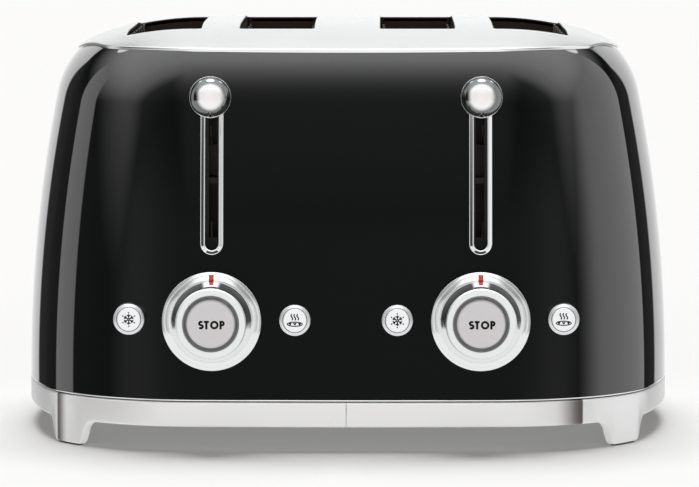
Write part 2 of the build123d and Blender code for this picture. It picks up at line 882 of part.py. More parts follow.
def lever_bezel(side):
    """The bright ring round the lever slot, with a collar through the shell."""
    x = side * lever_offset
    rim, collar = slot_half_width + bezel_rim, slot_half_width + bezel_collar - fit_gap
    near, far = channel_back, ball_reach
    outer = upright_slot(x, rim, slot_bottom - bezel_rim, slot_top + bezel_rim, near, far)
    ring = (outer & housing_block(-bezel_proud)) - outer_block
    low, high = slot_bottom - bezel_collar + fit_gap, slot_top + bezel_collar - fit_gap
    sleeve = upright_slot(x, collar, low, high, near, far) & outer_block
    sleeve -= housing_block(shell_wall + collar_depth)
    return ring + sleeve - upright_slot(x, slot_half_width, slot_bottom, slot_top, near, far)


def lever_channel(side):
    """The dark channel behind the slot, flanged to the inside of the shell, with a slit for the arm."""
    x = side * lever_offset
    far = ball_reach
    inner = slot_half_width + bezel_collar + slide_gap
    low, high = slot_bottom - bezel_collar - slide_gap, slot_top + bezel_collar + slide_gap
    tube = upright_slot(x, inner + channel_wall, low - channel_wall, high + channel_wall, channel_back, far)
    flange_half = inner + channel_flange
    flange = upright_slot(x, flange_half, low - channel_flange, high + channel_flange, channel_back, far)
    body = tube & inner_block
    body += (flange & inner_block) - housing_block(shell_wall + collar_depth)
    body -= upright_slot(x, inner, low, high, channel_back + channel_wall, far)
    arm_low = lever_height - lever_travel - arm_height / 2 - slide_gap
    arm_high = lever_height + arm_height / 2 + slide_gap
    slit = (x - channel_slit_half_width, x + channel_slit_half_width)
    return body - box(slit, (-channel_back - channel_wall, -channel_back), (arm_low, arm_high))


def dial_form(grow=0.0):
    """The stepped and tapered outer form of a dial, made along +Z from its back plane."""
    points = [(0, 0), (dial_flange_radius + grow, 0), (dial_flange_radius + grow, dial_flange_height + grow)]
    level = dial_flange_height + grow
    for radius, height in zip(dial_step_radii, dial_step_heights):
        points += [(radius + grow, level), (radius + grow, height + grow)]
        level = height + grow
    points += [(dial_barrel_radius + grow, level), (dial_face_radius + grow, dial_depth + grow)]
    points.append((0, dial_depth + grow))
    face = make_face(Polyline(*points, close=True))
    edge = [v for v in face.vertices() if abs(v.X - dial_face_radius - grow) < fit_gap]
    face = fillet(edge, dial_edge_radius)
    return revolve(Plane.XZ * face, Axis.Z)


def dial(side):
    """The browning dial: a hollow knob on a tubular hub that turns in the seat."""
    knob = dial_form()
    knob += Pos(0, 0, -hub_length) * extrude(Circle(hub_radius), amount=hub_length)
    knob -= Pos(0, 0, dial_floor) * extrude(Circle(cup_radius + dial_gap), amount=dial_depth)
    knob -= Pos(0, 0, -hub_length) * extrude(Circle(hub_radius - hub_wall), amount=dial_depth + hub_length)
    return facing_front(side * dial_offset, dial_height, dial_reach, knob)


def dial_mark(side):
    """The painted mark at the top of the dial's flange: a thin skin over its steps."""
    skin = dial_form(mark_thickness) - dial_form()
    window = box((-mark_half_width, mark_half_width), (mark_inner_radius, mark_outer_radius), (0, dial_depth))
    return facing_front(side * dial_offset, dial_height, dial_reach, skin & window)


def dial_seats():
    """The fixed bushes that the dials turn in, filled out to the curve of the shell."""
    seats = []
    for side in sides.values():
        x = side * dial_offset
        front = dial_reach - dial_gap
        disc = front_disc(x, dial_height, seat_radius, board_reach, front) - outer_block
        bush = front_disc(x, dial_height, seat_bush_radius, dial_reach - seat_bush_depth, front)
        seats.append(disc + bush - front_disc(x, dial_height, hub_radius + fit_gap, board_reach, dial_reach))
    return seats


def stop_cup(side):
    """The fixed cup inside the dial, on a stalk that stands on the control board."""
    rim = dial_depth - cup_recess
    stalk = dial_reach - board_reach
    cup = Pos(0, 0, cup_back) * extrude(Circle(cup_radius), amount=rim - cup_back)
    cup += Pos(0, 0, -stalk) * extrude(Circle(hub_radius - hub_wall - fit_gap), amount=stalk + cup_back)
    floor = cup_back + cup_floor
    cup -= Pos(0, 0, floor) * extrude(Circle(stop_radius + button_gap), amount=dial_depth)
    cup -= Pos(0, 0, -stalk) * extrude(Circle(stem_radius + button_gap), amount=stalk + floor)
    cup -= Pos(0, 0, -stalk) * extrude(Circle(stalk_pocket_radius), amount=stalk_pocket_depth)
    return facing_front(side * dial_offset, dial_height, dial_reach, cup)


def push_button(radius, thickness, edge, stem, stem_length):
    """A round button made along +Z with its front face at zero, on a stem behind it."""
    cap = Pos(0, 0, -thickness) * extrude(Circle(radius), amount=thickness)
    cap = chamfer(cap.edges().group_by(Axis.Z)[-1], edge)
    return cap + Pos(0, 0, -stem_length) * extrude(Circle(stem), amount=stem_length - thickness)


def stop_button(side):
    """The stop button in the middle of a dial."""
    face = dial_reach + dial_depth - cup_recess + stop_proud
    stem_length = face - board_reach - switch_height - stop_travel - button_gap
    button = push_button(stop_radius, stop_thickness, stop_edge, stem_radius, stem_length)
    return facing_front(side * dial_offset, dial_height, face, button)


def small_button(name):
    """One of the round buttons beside the dials."""
    x, reach = button_places[name]
    face = reach + button_proud
    stem_length = face - board_reach - switch_height - button_travel - button_gap
    button = push_button(button_radius, button_thickness, button_edge, button_stem_radius, stem_length)
    return facing_front(x, button_height, face, button)


def button_sleeves():
    """The bright sleeves of the small buttons, fitted to the curve of the shell."""
    sleeves = []
    for x, reach in button_places.values():
        rim = front_disc(x, button_height, sleeve_radius, board_reach, reach) - outer_block
        collar = front_disc(x, button_height, sleeve_collar_radius, sleeve_back, reach)
        bore = front_disc(x, button_height, button_radius + button_gap, board_reach, reach)
        sleeves.append(rim + collar - bore)
    return sleeves


def control_board():
    """The circuit board behind the dials, with its switches and the dials' encoders."""
    board = box((-board_half_width, board_half_width), (-board_reach, -board_reach + board_thickness),
                (board_bottom, board_bottom + board_height))
    switch_front = board_reach + switch_height
    places = [(side * dial_offset, dial_height) for side in sides.values()]
    places += [(x, button_height) for x, _ in button_places.values()]
    for x, z in places:
        board += box((x - switch_half_width, x + switch_half_width), (-switch_front, -board_reach),
                     (z - switch_half_width, z + switch_half_width))
    encoder_front = dial_reach - hub_length - encoder_clearance
    for side in sides.values():
        x = side * dial_offset
        ring = front_disc(x, dial_height, encoder_radius, board_reach, encoder_front)
        ring -= front_disc(x, dial_height, hub_radius - hub_wall + fit_gap, board_reach, encoder_front)
        board += ring
    return board


def crumb_tray(side):
    """A crumb tray that slides out at the rear, with a curved front plate and a finger pull."""
    x = side * tray_offset
    top = tray_bottom + tray_height
    outside = half_depth + trim_width
    pan = box((x - tray_half_width, x + tray_half_width), (-tray_front, outside), (tray_bottom, top))
    inner = tray_half_width - tray_wall
    pan -= box((x - inner, x + inner), (tray_wall - tray_front, outside), (tray_bottom + tray_wall, top))
    pan &= extrude(plan(-slide_gap), amount=crown_height)
    half = tray_half_width + tray_opening_margin + tray_lip_margin
    low = tray_bottom - tray_opening_margin - tray_lip_margin
    high = top + tray_opening_margin + tray_lip_margin
    lip = plan_ring(-slide_gap - tray_lip_thickness, -slide_gap, low, high)
    lip &= box((x - half, x + half), (tray_front, half_width + outside), (low, high))
    middle = (low + high) / 2
    near = half_depth + slide_gap
    pull = box((x - pull_half_width, x + pull_half_width), (near, near + pull_reach + tray_lip_thickness),
               (middle - pull_height / 2, middle + pull_height / 2))
    pull = fillet(pull.edges().filter_by(Axis.Z).group_by(Axis.Y)[-1], pull_edge_radius)
    pull -= extrude(plan(-slide_gap - tray_lip_thickness / 2), amount=crown_height)
    return pan + lip + pull


def cord_gland():
    """The bush that the mains cord would enter by, in the rear of the shell."""
    outer_end, inner_end = -half_depth - gland_proud, -half_depth + gland_depth
    flange = front_disc(0, gland_height, gland_flange_radius, outer_end, inner_end) - outer_block
    body = front_disc(0, gland_height, gland_radius, outer_end, inner_end)
    return flange + body - front_disc(0, gland_height, gland_bore_radius, outer_end, inner_end)


def write(name, shape):
    """Writes one sub-part, moved into the frame of the whole object."""
    solids = shape if isinstance(shape, list) else [shape]
    children = [Pos(0, frame_shift, 0) * piece for piece in solids]
    whole = children[0] if len(children) == 1 else Compound(children=children)
    export_step(whole, f"parts/{name}.step")


write("housing_shell", housing_shell())
write("top_plate", top_plate())
write("slot_throats", slot_throats())
write("trim_ring", plan_ring(-trim_proud, trim_width, trim_bottom, shell_bottom))
write("base_gasket", plan_ring(gasket_recess, trim_width, skirt_top, trim_bottom))
write("foot_pads", foot_pads())
write("base_pan", base_pan())
write("base_screws", base_screws())
write("front_bulkhead", front_bulkhead())
write("rear_bulkhead", bulkhead(1))
write("heat_shields", heat_shields())
write("centre_shield", centre_shield())
write("guide_rods", guide_rods())
write("holding_magnets", [holding_magnet(side) for side in sides.values()])
write("control_board", control_board())
write("dial_seats", dial_seats())
write("button_sleeves", button_sleeves())
write("cord_gland", cord_gland())
for name in button_places:
    write(name, small_button(name))
for side_name, side in sides.items():
    write(f"skirt_{side_name}", skirt_half(side))
    write(f"heater_cards_{side_name}", heater_cards(side))
    write(f"heater_ribbons_{side_name}", heater_ribbons(side))
    write(f"guards_{side_name}_a", bread_guards(side, -1))
    write(f"guards_{side_name}_b", bread_guards(side, 1))
    write(f"bread_racks_{side_name}", bread_racks(side))
    write(f"carriage_{side_name}", carriage(side))
    write(f"lever_arm_{side_name}", lever_arm(side))
    write(f"ball_knob_{side_name}", ball_knob(side))
    write(f"keeper_{side_name}", keeper(side))
    write(f"return_spring_{side_name}", return_spring(side))
    write(f"lever_bezel_{side_name}", lever_bezel(side))
    write(f"lever_channel_{side_name}", lever_channel(side))
    write(f"dial_{side_name}", dial(side))
    write(f"dial_mark_{side_name}", dial_mark(side))
    write(f"stop_cup_{side_name}", stop_cup(side))
    write(f"stop_button_{side_name}", stop_button(side))
    write(f"crumb_tray_{side_name}", crumb_tray(side))
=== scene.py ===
"""The look of a four-slice toaster with a gloss black housing, a brushed top plate and bright trim.

Metres, +Z up, the front towards -Y. Surfaces are worked out as arrays of points, and each function says
its formula. Left and right are the viewer's.
"""

import bmesh
import bpy
import numpy as np
from math import asin, atan2, cos, degrees, hypot, pi, radians, sin, sqrt, tan
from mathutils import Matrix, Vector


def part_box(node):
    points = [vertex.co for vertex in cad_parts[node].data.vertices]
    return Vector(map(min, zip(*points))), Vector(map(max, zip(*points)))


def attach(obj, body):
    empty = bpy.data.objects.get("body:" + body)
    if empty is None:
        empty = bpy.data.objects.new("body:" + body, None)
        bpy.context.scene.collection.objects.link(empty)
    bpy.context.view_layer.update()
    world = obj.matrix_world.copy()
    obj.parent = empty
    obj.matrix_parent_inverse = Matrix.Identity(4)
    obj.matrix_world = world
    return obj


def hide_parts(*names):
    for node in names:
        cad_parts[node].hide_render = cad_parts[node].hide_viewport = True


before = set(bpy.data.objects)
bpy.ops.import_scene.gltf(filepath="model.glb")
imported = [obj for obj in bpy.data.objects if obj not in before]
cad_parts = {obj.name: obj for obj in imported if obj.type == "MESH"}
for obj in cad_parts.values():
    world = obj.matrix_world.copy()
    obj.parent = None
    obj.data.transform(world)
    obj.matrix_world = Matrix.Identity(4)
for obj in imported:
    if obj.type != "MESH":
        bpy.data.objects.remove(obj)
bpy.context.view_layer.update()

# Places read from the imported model
shell_low, shell_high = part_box("housing_shell")
AXIS_Y = (shell_low[1] + shell_high[1]) / 2
HALF_WIDTH = (shell_high[0] - shell_low[0]) / 2
HALF_DEPTH = (shell_high[1] - shell_low[1]) / 2
SHELL_FOOT = shell_low[2]
PLATE_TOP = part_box("top_plate")[1][2]
SKIRT_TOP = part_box("skirt_left")[1][2]
PAD_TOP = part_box("foot_pads")[1][2]

# Housing outline and sides
FRONT_BOW = 1.950
SIDE_BOW = 0.360
CORNER = 0.086
BELLY = 0.750
SHOULDER = 0.046
SHOULDER_DROP = 0.0375
SHELL_WALL = 0.0015
FOOT_FLANGE = 0.0075

# Crown of the top plate
CROWN_FLAT_LENGTH = 0.036
CROWN_RADIUS = 0.430
CROWN_FLAT = 0.080
CROWN_SHOULDER = 0.153
CROWN_EASING = 0.45
PLATE_THICKNESS = 0.0012
PLATE_OVERHANG = 0.0004
PLATE_EDGE = 0.0004
HEM_RADIUS = 0.00035

# Bread wells
WELLS = (-0.0952, -0.0365, 0.0365, 0.0952)
WELL_HALF_WIDTH = 0.0193
WELL_HALF_LENGTH = 0.078
WELL_CORNER = 0.002
LIP_REVEAL = 0.00025
LIP_DEPTH = 0.0024
LIP_WALL = 0.0003

# Openings of the shell
CONTROL_HOLE = 0.012
BUTTON_HOLE = 0.0070
GLAND_HOLE = 0.007
GLAND_HEIGHT = 0.052
TRAY_X = 0.066
TRAY_HEIGHT = 0.0347
TRAY_HALF_WIDTH = 0.0506
TRAY_HALF_HEIGHT = 0.0049
TRAY_CORNER = 0.0012

# Skirt and its legs
SKIRT_BOTTOM = 0.013
SKIRT_WALL = 0.005
SKIRT_SEAM = 0.0003
SKIRT_EDGE = 0.0012
LEG_HALF = 0.012
LEG_FLARE = radians(20)
LEG_ROOT = 0.008
LEG_TOE = 0.003
LEG_DIRECTION = radians(35.5)
TRIM_RADIUS = 0.00032
TRIM_DROP = 0.0004

# Front controls
LEVER_X = 0.068
BALL_RADIUS = 0.01045
BALL_HEIGHT = 0.181
BALL_REACH = 0.171
SLOT_HALF = 0.0034
SLOT_LOW = 0.1027
SLOT_HIGH = 0.1868
BEZEL_RIM = 0.0024
BEAD_FOOT = 0.0010
BEAD_HALF = 0.00045
SLOPE_TOP = 0.00115
SLOPE_START = 0.00092
SLOPE_FALL = 0.83
EDGE_FOOT = 0.00012
EDGE_RISE = 0.00014
EDGE_PLACE = 0.0022
EDGE_HALF = 0.0002
BEZEL_SUNK_OUTSIDE = 0.0002
BEZEL_SUNK_INSIDE = 0.0028
DIAL_X = 0.068
DIAL_HEIGHT = 0.067
DIAL_REACH = 0.1606
DIAL_FACE = 0.0136
STOP_RADIUS = 0.0121
MARK_HALF = 0.00125
MARK_OUTER = 0.0248
MARK_INNER = 0.0206
MARK_LIFT = 0.00008
MARK_SUNK = 0.00002
MARK_FLOOR = 0.0005
CAP_BACK = 0.0095
CUP_FACE = 0.0133
STOP_FACE = 0.0139
BUTTON_HEIGHT = 0.0675
BUTTON_SPACING = 0.0421
BUTTON_RADIUS = 0.0061
BUTTON_PROUD = 0.0006
BUTTON_BACK = -0.0054
SLEEVE_RADIUS = 0.0079
SLEEVE_BACK = 0.143
INNER_REACH = 0.1606
OUTER_REACH = 0.1550
INK_LIFT = 0.00005
INK_GAP = 0.00003

# Camera and stage
CAMERA_PLACE = (0.0179, AXIS_Y - 2.600, 0.317)
CAMERA_DOWN = radians(4.93)
CAMERA_TURN = radians(0.38)
FOCAL_PIXELS = 4855
PHOTO_WIDTH = 699
SENSOR = 36.0
FLOOR_HALF = 9.0
FLOOR_TONE = 0.62
FLOOR_GLOW = 0.01
SUN_ENERGY = 4.1
SUN_SPREAD = radians(38)
SUN_TILT = radians(-14)
SHARP = radians(38)


class Value:
    """A socket that carries a number in a material, with the arithmetic written as Python expressions."""

    def __init__(self, finish, socket):
        self.finish, self.socket = finish, socket

    def join(self, operation, other, swapped=False):
        pair = (other, self) if swapped else (self, other)
        return self.finish.maths(operation, *pair)

    def __add__(self, other): return self.join("ADD", other)
    def __radd__(self, other): return self.join("ADD", other)
    def __sub__(self, other): return self.join("SUBTRACT", other)
    def __rsub__(self, other): return self.join("SUBTRACT", other, True)
    def __mul__(self, other): return self.join("MULTIPLY", other)
    def __rmul__(self, other): return self.join("MULTIPLY", other)
    def __truediv__(self, other): return self.join("DIVIDE", other)


class Finish:
    """A material or world built from nodes, each made by one method."""

    def __init__(self, tree):
        self.tree = tree
        tree.nodes.clear()

    def node(self, kind, settings=None, **inputs):
        """Adds a node of a type, makes its settings, then gives its sockets values or links."""
        made = self.tree.nodes.new("ShaderNode" + kind)
        for key, value in (settings or {}).items():
            setattr(made, key, value)
        for key, value in inputs.items():
            self.feed(made.inputs[key.replace("_", " ")], value)
        return made

    def feed(self, socket, value):
        """Links a value to a socket, or sets it there."""
        if isinstance(value, Value):
            self.tree.links.new(value.socket, socket)
        elif isinstance(value, bpy.types.NodeSocket):
            self.tree.links.new(value, socket)
        else:
            socket.default_value = value

    def maths(self, operation, *terms):
        """One Math node on numbers or values."""
        made = self.node("Math", {"operation": operation})
        for socket, term in zip(made.inputs, terms):
            self.feed(socket, term)
        return Value(self, made.outputs[0])

    def place(self, stretch=(1, 1, 1)):
        """Object coordinates, stretched."""
        coords = self.node("TexCoord").outputs["Object"]
        return self.node("Mapping", Vector=coords, Scale=stretch).outputs["Vector"]

    def noise(self, vector, scale, detail=2.0, roughness=0.5):
        """Soft noise between 0 and 1."""
        made = self.node("TexNoise", Vector=vector, Scale=scale, Detail=detail, Roughness=roughness)
        return Value(self, made.outputs[0])

    def ramp(self, value, low, high, start=0.0, end=1.0):
        """start below low, end above high, and a smooth step between them."""
        made = self.node("MapRange", {"interpolation_type": "SMOOTHSTEP"}, Value=value,
                         From_Min=low, From_Max=high, To_Min=start, To_Max=end)
        return Value(self, made.outputs[0])

    def blend(self, factor, first, second):
        """The colour first where factor is 0, and second where it is 1."""
        made = self.node("Mix", {"data_type": "RGBA"})
        self.feed(made.inputs[0], factor)
        self.feed(made.inputs[6], first)
        self.feed(made.inputs[7], second)
        return made.outputs[2]

    def bump(self, height, strength, distance):
        """A normal from a height."""
        return self.node("Bump", Height=height, Strength=strength, Distance=distance).outputs["Normal"]

    def parts(self, vector):
        """The three parts of a vector."""
        return [Value(self, socket) for socket in self.node("SeparateXYZ", Vector=vector).outputs]

    def mix(self, factor, first, second):
        """The shader first where factor is 0, and second where it is 1."""
        made = self.node("MixShader")
        for socket, value in zip(made.inputs, (factor, first, second)):
            self.feed(socket, value)
        return made.outputs[0]

    def shader(self, **inputs):
        """A Principled shader."""
        return self.node("BsdfPrincipled", None, **inputs).outputs[0]

    def surface(self, shader):
        """Makes a shader the finish's surface."""
        self.tree.links.new(shader, self.node("OutputMaterial").inputs["Surface"])


def finish_named(name):
    """An empty node material and its builder."""
    material = bpy.data.materials.new(name)
    material.use_nodes = True
    return material, Finish(material.node_tree)


def grey(level):
    """A neutral colour."""
    return (level, level, level, 1)


def gloss_enamel():
    """Black stove enamel: deep black under a clear skin whose shine falls away where it faces the viewer."""
    material, f = finish_named("gloss_enamel")
    at = f.place()
    ripple = f.noise(at, 260, 2.0)
    cloud = f.noise(at, 9, 3.0)
    normal = f.bump(ripple, 0.05, 0.00004)
    under = f.shader(Base_Color=f.blend(cloud, (0.0016, 0.0022, 0.0020, 1), (0.0024, 0.0032, 0.0030, 1)),
                     Roughness=0.5, Specular_IOR_Level=0.0, Normal=normal)
    over = f.shader(Base_Color=grey(1), Metallic=1.0, Roughness=cloud * 0.02 + 0.02, Normal=normal)
    shine = Value(f, f.node("Fresnel", IOR=1.5, Normal=normal).outputs[0])
    facing = Value(f, f.node("LayerWeight", Blend=0.5, Normal=normal).outputs["Facing"])
    share = shine * f.ramp(facing, 0.01, 0.26, 0.17, 2.0) * f.ramp(facing, 0.28, 0.75, 1.0, 0.5)
    f.surface(f.mix(share, under, over))
    return material


def ball_plating():
    """The plating of a ball, with painted reflections and highlights in its colour: painted white where it
    faces the viewer, smoky beside that, and a painted pale highlight at its edge.

    The painted pale edge is wider below."""
    material, f = finish_named("ball_plating")
    cloud = f.noise(f.place(), 200, 2.0)
    facing = Value(f, f.node("LayerWeight", Blend=0.5).outputs["Facing"])
    # Painted reflection: the metal's colour is white facing the viewer and dark grey beside that.
    tone = f.blend(f.ramp(facing, 0.05, 0.30), grey(1.0), (0.20, 0.21, 0.21, 1))
    plate = f.shader(Base_Color=tone, Metallic=1.0, Roughness=cloud * 0.02 + 0.07,
                     Normal=f.bump(cloud, 0.05, 0.00001))
    height = f.parts(f.place())[2]
    # Painted highlight: a dull pale rim, reaching further in at the bottom.
    low = f.ramp(height, BALL_HEIGHT - BALL_RADIUS, BALL_HEIGHT - 0.55 * BALL_RADIUS, 0.16, 0.0)
    edge = f.shader(Base_Color=grey(0.95), Roughness=0.4)
    rim = f.mix(f.ramp(facing + low, 0.80, 0.90), plate, edge)
    # Painted reflection: a dull white shader over the middle.
    painted_white_centre = f.shader(Base_Color=grey(1.0), Roughness=0.3)
    f.surface(f.mix(f.ramp(facing, 0.10, 0.27, 1.0, 0.0), rim, painted_white_centre))
    return material


def metal(name, colour, rough, grain, stretch=(1, 1, 1), scale=600, relief=0.00002):
    """Bare or plated metal: a fine grain in relief, and soft clouds in its colour and roughness."""
    material, f = finish_named(name)
    fine = f.noise(f.place(stretch), scale, 3.0, 0.6)
    cloud = f.noise(f.place(), 30, 3.0)
    darker = tuple(c * (1 - 0.04) for c in colour[:3]) + (1,)
    f.surface(f.shader(Base_Color=f.blend(cloud, colour, darker), Metallic=1.0,
                       Roughness=rough + grain * (fine - 0.5) + 0.3 * rough * (cloud - 0.5),
                       Normal=f.bump(fine, 0.25, relief)))
    return material


def moulding(name, colour, rough, scale=900, relief=0.00003, spread=0.3, shine=0.5):
    """Moulded plastic, rubber or laminate: a fine even grain, and a little change of tone."""
    material, f = finish_named(name)
    fine = f.noise(f.place(), scale, 2.0)
    cloud = f.noise(f.place(), 40, 2.0)
    lighter = tuple(min(1, c * (1 + spread)) for c in colour[:3]) + (1,)
    f.surface(f.shader(Base_Color=f.blend(cloud, colour, lighter), Roughness=rough + 0.1 * (fine - 0.5),
                       Specular_IOR_Level=shine, Normal=f.bump(fine, 0.4, relief)))
    return material


def skirt_metal():
    """Satin cast metal: bright all round, with a painted dark reflection, one stripe at each front corner,
    sharp on its outer side.

    The bearing is the angle round the corner arc's centre, from straight ahead towards the side."""
    material, f = finish_named("polished_casting")
    fine = f.noise(f.place(), 900, 3.0, 0.6)
    cloud = f.noise(f.place(), 30, 3.0)
    x, y, _ = f.parts(f.place())
    ahead = AXIS_Y - CORNER_Y - y
    left = f.maths("ARCTAN2", -CORNER_X - x, ahead) * degrees(1)
    right = f.maths("ARCTAN2", x - CORNER_X, ahead) * degrees(1)
    # Painted reflection: a dark stripe at each front corner, laid into the base colour in place of a mirrored
    # dark band.
    painted_streak = f.ramp(left, 53.5, 60.0) * f.ramp(left, 60.3, 60.9, 1.0, 0.0)
    painted_streak = painted_streak + f.ramp(right, 21.0, 32.0) * f.ramp(right, 32.2, 32.8, 1.0, 0.0)
    front = f.ramp(ahead, 0.0, 0.01)
    tone = f.blend(cloud, (0.97, 0.975, 0.98, 1), (0.94, 0.945, 0.95, 1))
    tone = f.blend(painted_streak * front, tone, (0.12, 0.108, 0.10, 1))
    f.surface(f.shader(Base_Color=tone, Metallic=0.30, Roughness=0.34 + 0.04 * (fine - 0.5),
                       Normal=f.bump(fine, 0.1, 0.000008)))
    return material


def dial_chrome():
    """Chrome, with a painted dark reflection: its colour is nearly black on the barrel's wall on each side of
    the top.
    """
    material, f = finish_named("dial_chrome")
    x, _, z = f.parts(f.place())
    across = f.maths("ABSOLUTE", f.maths("ABSOLUTE", x) - DIAL_X)
    up = z - DIAL_HEIGHT
    turn = f.maths("ARCTAN2", across, up) * degrees(1)
    wall = f.ramp(f.maths("SQRT", across * across + up * up), 0.0202, 0.0205, 1.0, 0.0)
    # Painted reflection: the barrel's wall either side of the top is coloured nearly black.
    dark = wall * f.ramp(turn, 8.0, 15.0) * f.ramp(turn, 85.0, 100.0, 1.0, 0.0)
    fine = f.noise(f.place(), 300, 3.0)
    tone = f.blend(dark, (0.90, 0.91, 0.91, 1), (0.012, 0.012, 0.011, 1))
    f.surface(f.shader(Base_Color=tone, Metallic=1.0, Roughness=fine * 0.01 + 0.035 + dark * 0.3,
                       Normal=f.bump(fine, 0.1, 0.000004)))
    return material


def mica():
    """Mica board: pale flakes in a warm grey-brown."""
    material, f = finish_named("mica_board")
    flakes = f.node("TexVoronoi", Vector=f.place(), Scale=420).outputs["Distance"]
    tone = f.blend(flakes, (0.42, 0.36, 0.27, 1), (0.62, 0.57, 0.47, 1))
    f.surface(f.shader(Base_Color=tone, Roughness=0.45, Normal=f.bump(flakes, 0.3, 0.00003)))
    return material


MATERIALS = {
    "enamel": gloss_enamel(),
    "dial_chrome": dial_chrome(),
    "plate": metal("brushed_plate", (0.86, 0.88, 0.875, 1), 0.30, 0.10, (1, 26, 26), 160),
    "chrome": metal("bright_plating", (0.90, 0.91, 0.91, 1), 0.035, 0.01, scale=300, relief=0.000004),
    "ball": ball_plating(),
    "dial_face": metal("satin_dial", (0.88, 0.90, 0.90, 1), 0.34, 0.08, (9, 9, 9), 260),
    "stop_face": moulding("stop_face", (0.70, 0.70, 0.71, 1), 0.42, spread=0.03),
    "button_face": metal("satin_button", (0.96, 0.98, 1.0, 1), 0.36, 0.05),
    "cup": moulding("dark_cup", (0.14, 0.145, 0.145, 1), 0.22),
    "red": moulding("red_enamel", (0.52, 0.05, 0.03, 1), 0.3),
    "ink": moulding("black_ink", (0.006, 0.006, 0.006, 1), 0.6, shine=0.1),
    "rubber": moulding("black_rubber", (0.018, 0.018, 0.018, 1), 0.75, relief=0.00006),
    "black": moulding("black_moulding", (0.016, 0.014, 0.013, 1), 0.42),
    "sheet": metal("chassis_sheet", (0.62, 0.62, 0.60, 1), 0.38, 0.15, (4, 4, 40), 90),
    # Very dark brown sheet for the slot throats and lips, partly its own colour and partly painted shade of
    # the slots' insides.
    "warm_sheet": metal("slot_sheet_painted_shade", (0.045, 0.033, 0.026, 1), 0.42, 0.15, (4, 4, 40), 90),
    "dark_sheet": metal("dark_sheet", (0.075, 0.066, 0.060, 1), 0.45, 0.15, (4, 4, 40), 90),
    "wire": metal("plated_wire", (0.82, 0.81, 0.79, 1), 0.16, 0.08),
    "iron": metal("plain_iron", (0.30, 0.30, 0.31, 1), 0.5, 0.2),
    "ribbon": metal("heating_ribbon", (0.36, 0.33, 0.30, 1), 0.45, 0.15, (1, 30, 1), 200),
    "laminate": moulding("green_laminate", (0.03, 0.16, 0.07, 1), 0.4),
    "mica": mica(),
}


def add_object(name, data):
    """A new object in the scene."""
    made = bpy.data.objects.new(name, data)
    bpy.context.scene.collection.objects.link(made)
    return made


def shade(mesh, sharp):
    """Smooth faces, with the edges above an angle kept sharp."""
    mesh.polygons.foreach_set("use_smooth", np.ones(len(mesh.polygons), dtype=bool))
    mesh.set_sharp_from_angle(angle=sharp)


def make_piece(name, patches, material, body, replaced=(), sharp=SHARP):
    """Joins patches into one smooth piece on a body.

    A patch is a grid of points, then whether its rows and whether its columns close on themselves."""
    points, faces, start = [], [], 0
    for grid, round_u, round_v in patches:
        rows, columns = grid.shape[:2]
        index = start + np.arange(rows * columns).reshape(rows, columns)
        if round_u:
            index = np.concatenate([index, index[:1]])
        if round_v:
            index = np.concatenate([index, index[:, :1]], axis=1)
        quads = np.stack([index[:-1, :-1], index[1:, :-1], index[1:, 1:], index[:-1, 1:]], axis=-1)
        faces.append(quads.reshape(-1, 4))
        points.append(grid.reshape(-1, 3))
        start += rows * columns
    mesh = bpy.data.meshes.new(name)
    mesh.from_pydata(np.concatenate(points), [], np.concatenate(faces).tolist())
    work = bmesh.new()
    work.from_mesh(mesh)
    bmesh.ops.remove_doubles(work, verts=work.verts, dist=2e-6)
    bmesh.ops.dissolve_degenerate(work, edges=work.edges, dist=1e-6)
    bmesh.ops.recalc_face_normals(work, faces=work.faces)
    work.to_mesh(mesh)
    work.free()
    shade(mesh, sharp)
    mesh.materials.append(MATERIALS[material])
    piece = add_object(name, mesh)
    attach(piece, body)
    if replaced:
        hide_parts(*replaced)
    return piece


def cut_piece(piece, cutters):
    """Cuts closed shapes out of a piece and leaves the result as plain mesh."""
    for cutter in cutters:
        step = piece.modifiers.new("cut", "BOOLEAN")
        step.object = cutter
        step.operation = "DIFFERENCE"
        step.solver = "EXACT"
    bpy.context.view_layer.update()
    done = piece.evaluated_get(bpy.context.evaluated_depsgraph_get())
    mesh = bpy.data.meshes.new_from_object(done)
    piece.modifiers.clear()
    piece.data = mesh
    shade(mesh, SHARP)
    for cutter in cutters:
        bpy.data.objects.remove(cutter)


def cutter_from(path, near, far, axis):
    """A closed prism: a flat closed path of (across, up) points, carried along Y or Z from near to far."""
    path = np.asarray(path)
    count = len(path)
    rings = []
    for level in (near, far):
        depth = np.full(count, level)
        rings.append(np.column_stack([path[:, 0], depth, path[:, 1]] if axis == "Y" else [path, depth]))
    sides = [(i, (i + 1) % count, count + (i + 1) % count, count + i) for i in range(count)]
    mesh = bpy.data.meshes.new("cutter")
    mesh.from_pydata(np.concatenate(rings), [], sides + [tuple(range(count)), tuple(range(count, 2 * count))])
    work = bmesh.new()
    work.from_mesh(mesh)
    bmesh.ops.recalc_face_normals(work, faces=work.faces)
    work.to_mesh(mesh)
    work.free()
    return add_object("cutter", mesh)


def ring_path(centre, radius, steps=72):
    """Points round a circle: centre plus radius times (cos, sin)."""
    turn = np.linspace(0, 2 * pi, steps, endpoint=False)
    return np.column_stack([centre[0] + radius * np.cos(turn), centre[1] + radius * np.sin(turn)])


def slot_path(x, low, high, half, steps=24):
    """Points round an upright slot with round ends: two half circles joined by straight sides."""
    turn = np.linspace(0, pi, steps)
    top = np.column_stack([x + half * np.cos(turn), high - half + half * np.sin(turn)])
    foot = np.column_stack([x - half * np.cos(turn), low + half - half * np.sin(turn)])
    rise = np.linspace(0, 1, 60)[1:-1]
    left = np.column_stack([np.full(len(rise), x - half), high - half + (low - high + 2 * half) * rise])
    right = np.column_stack([np.full(len(rise), x + half), low + half + (high - low - 2 * half) * rise])
    return np.concatenate([top, left, foot, right])


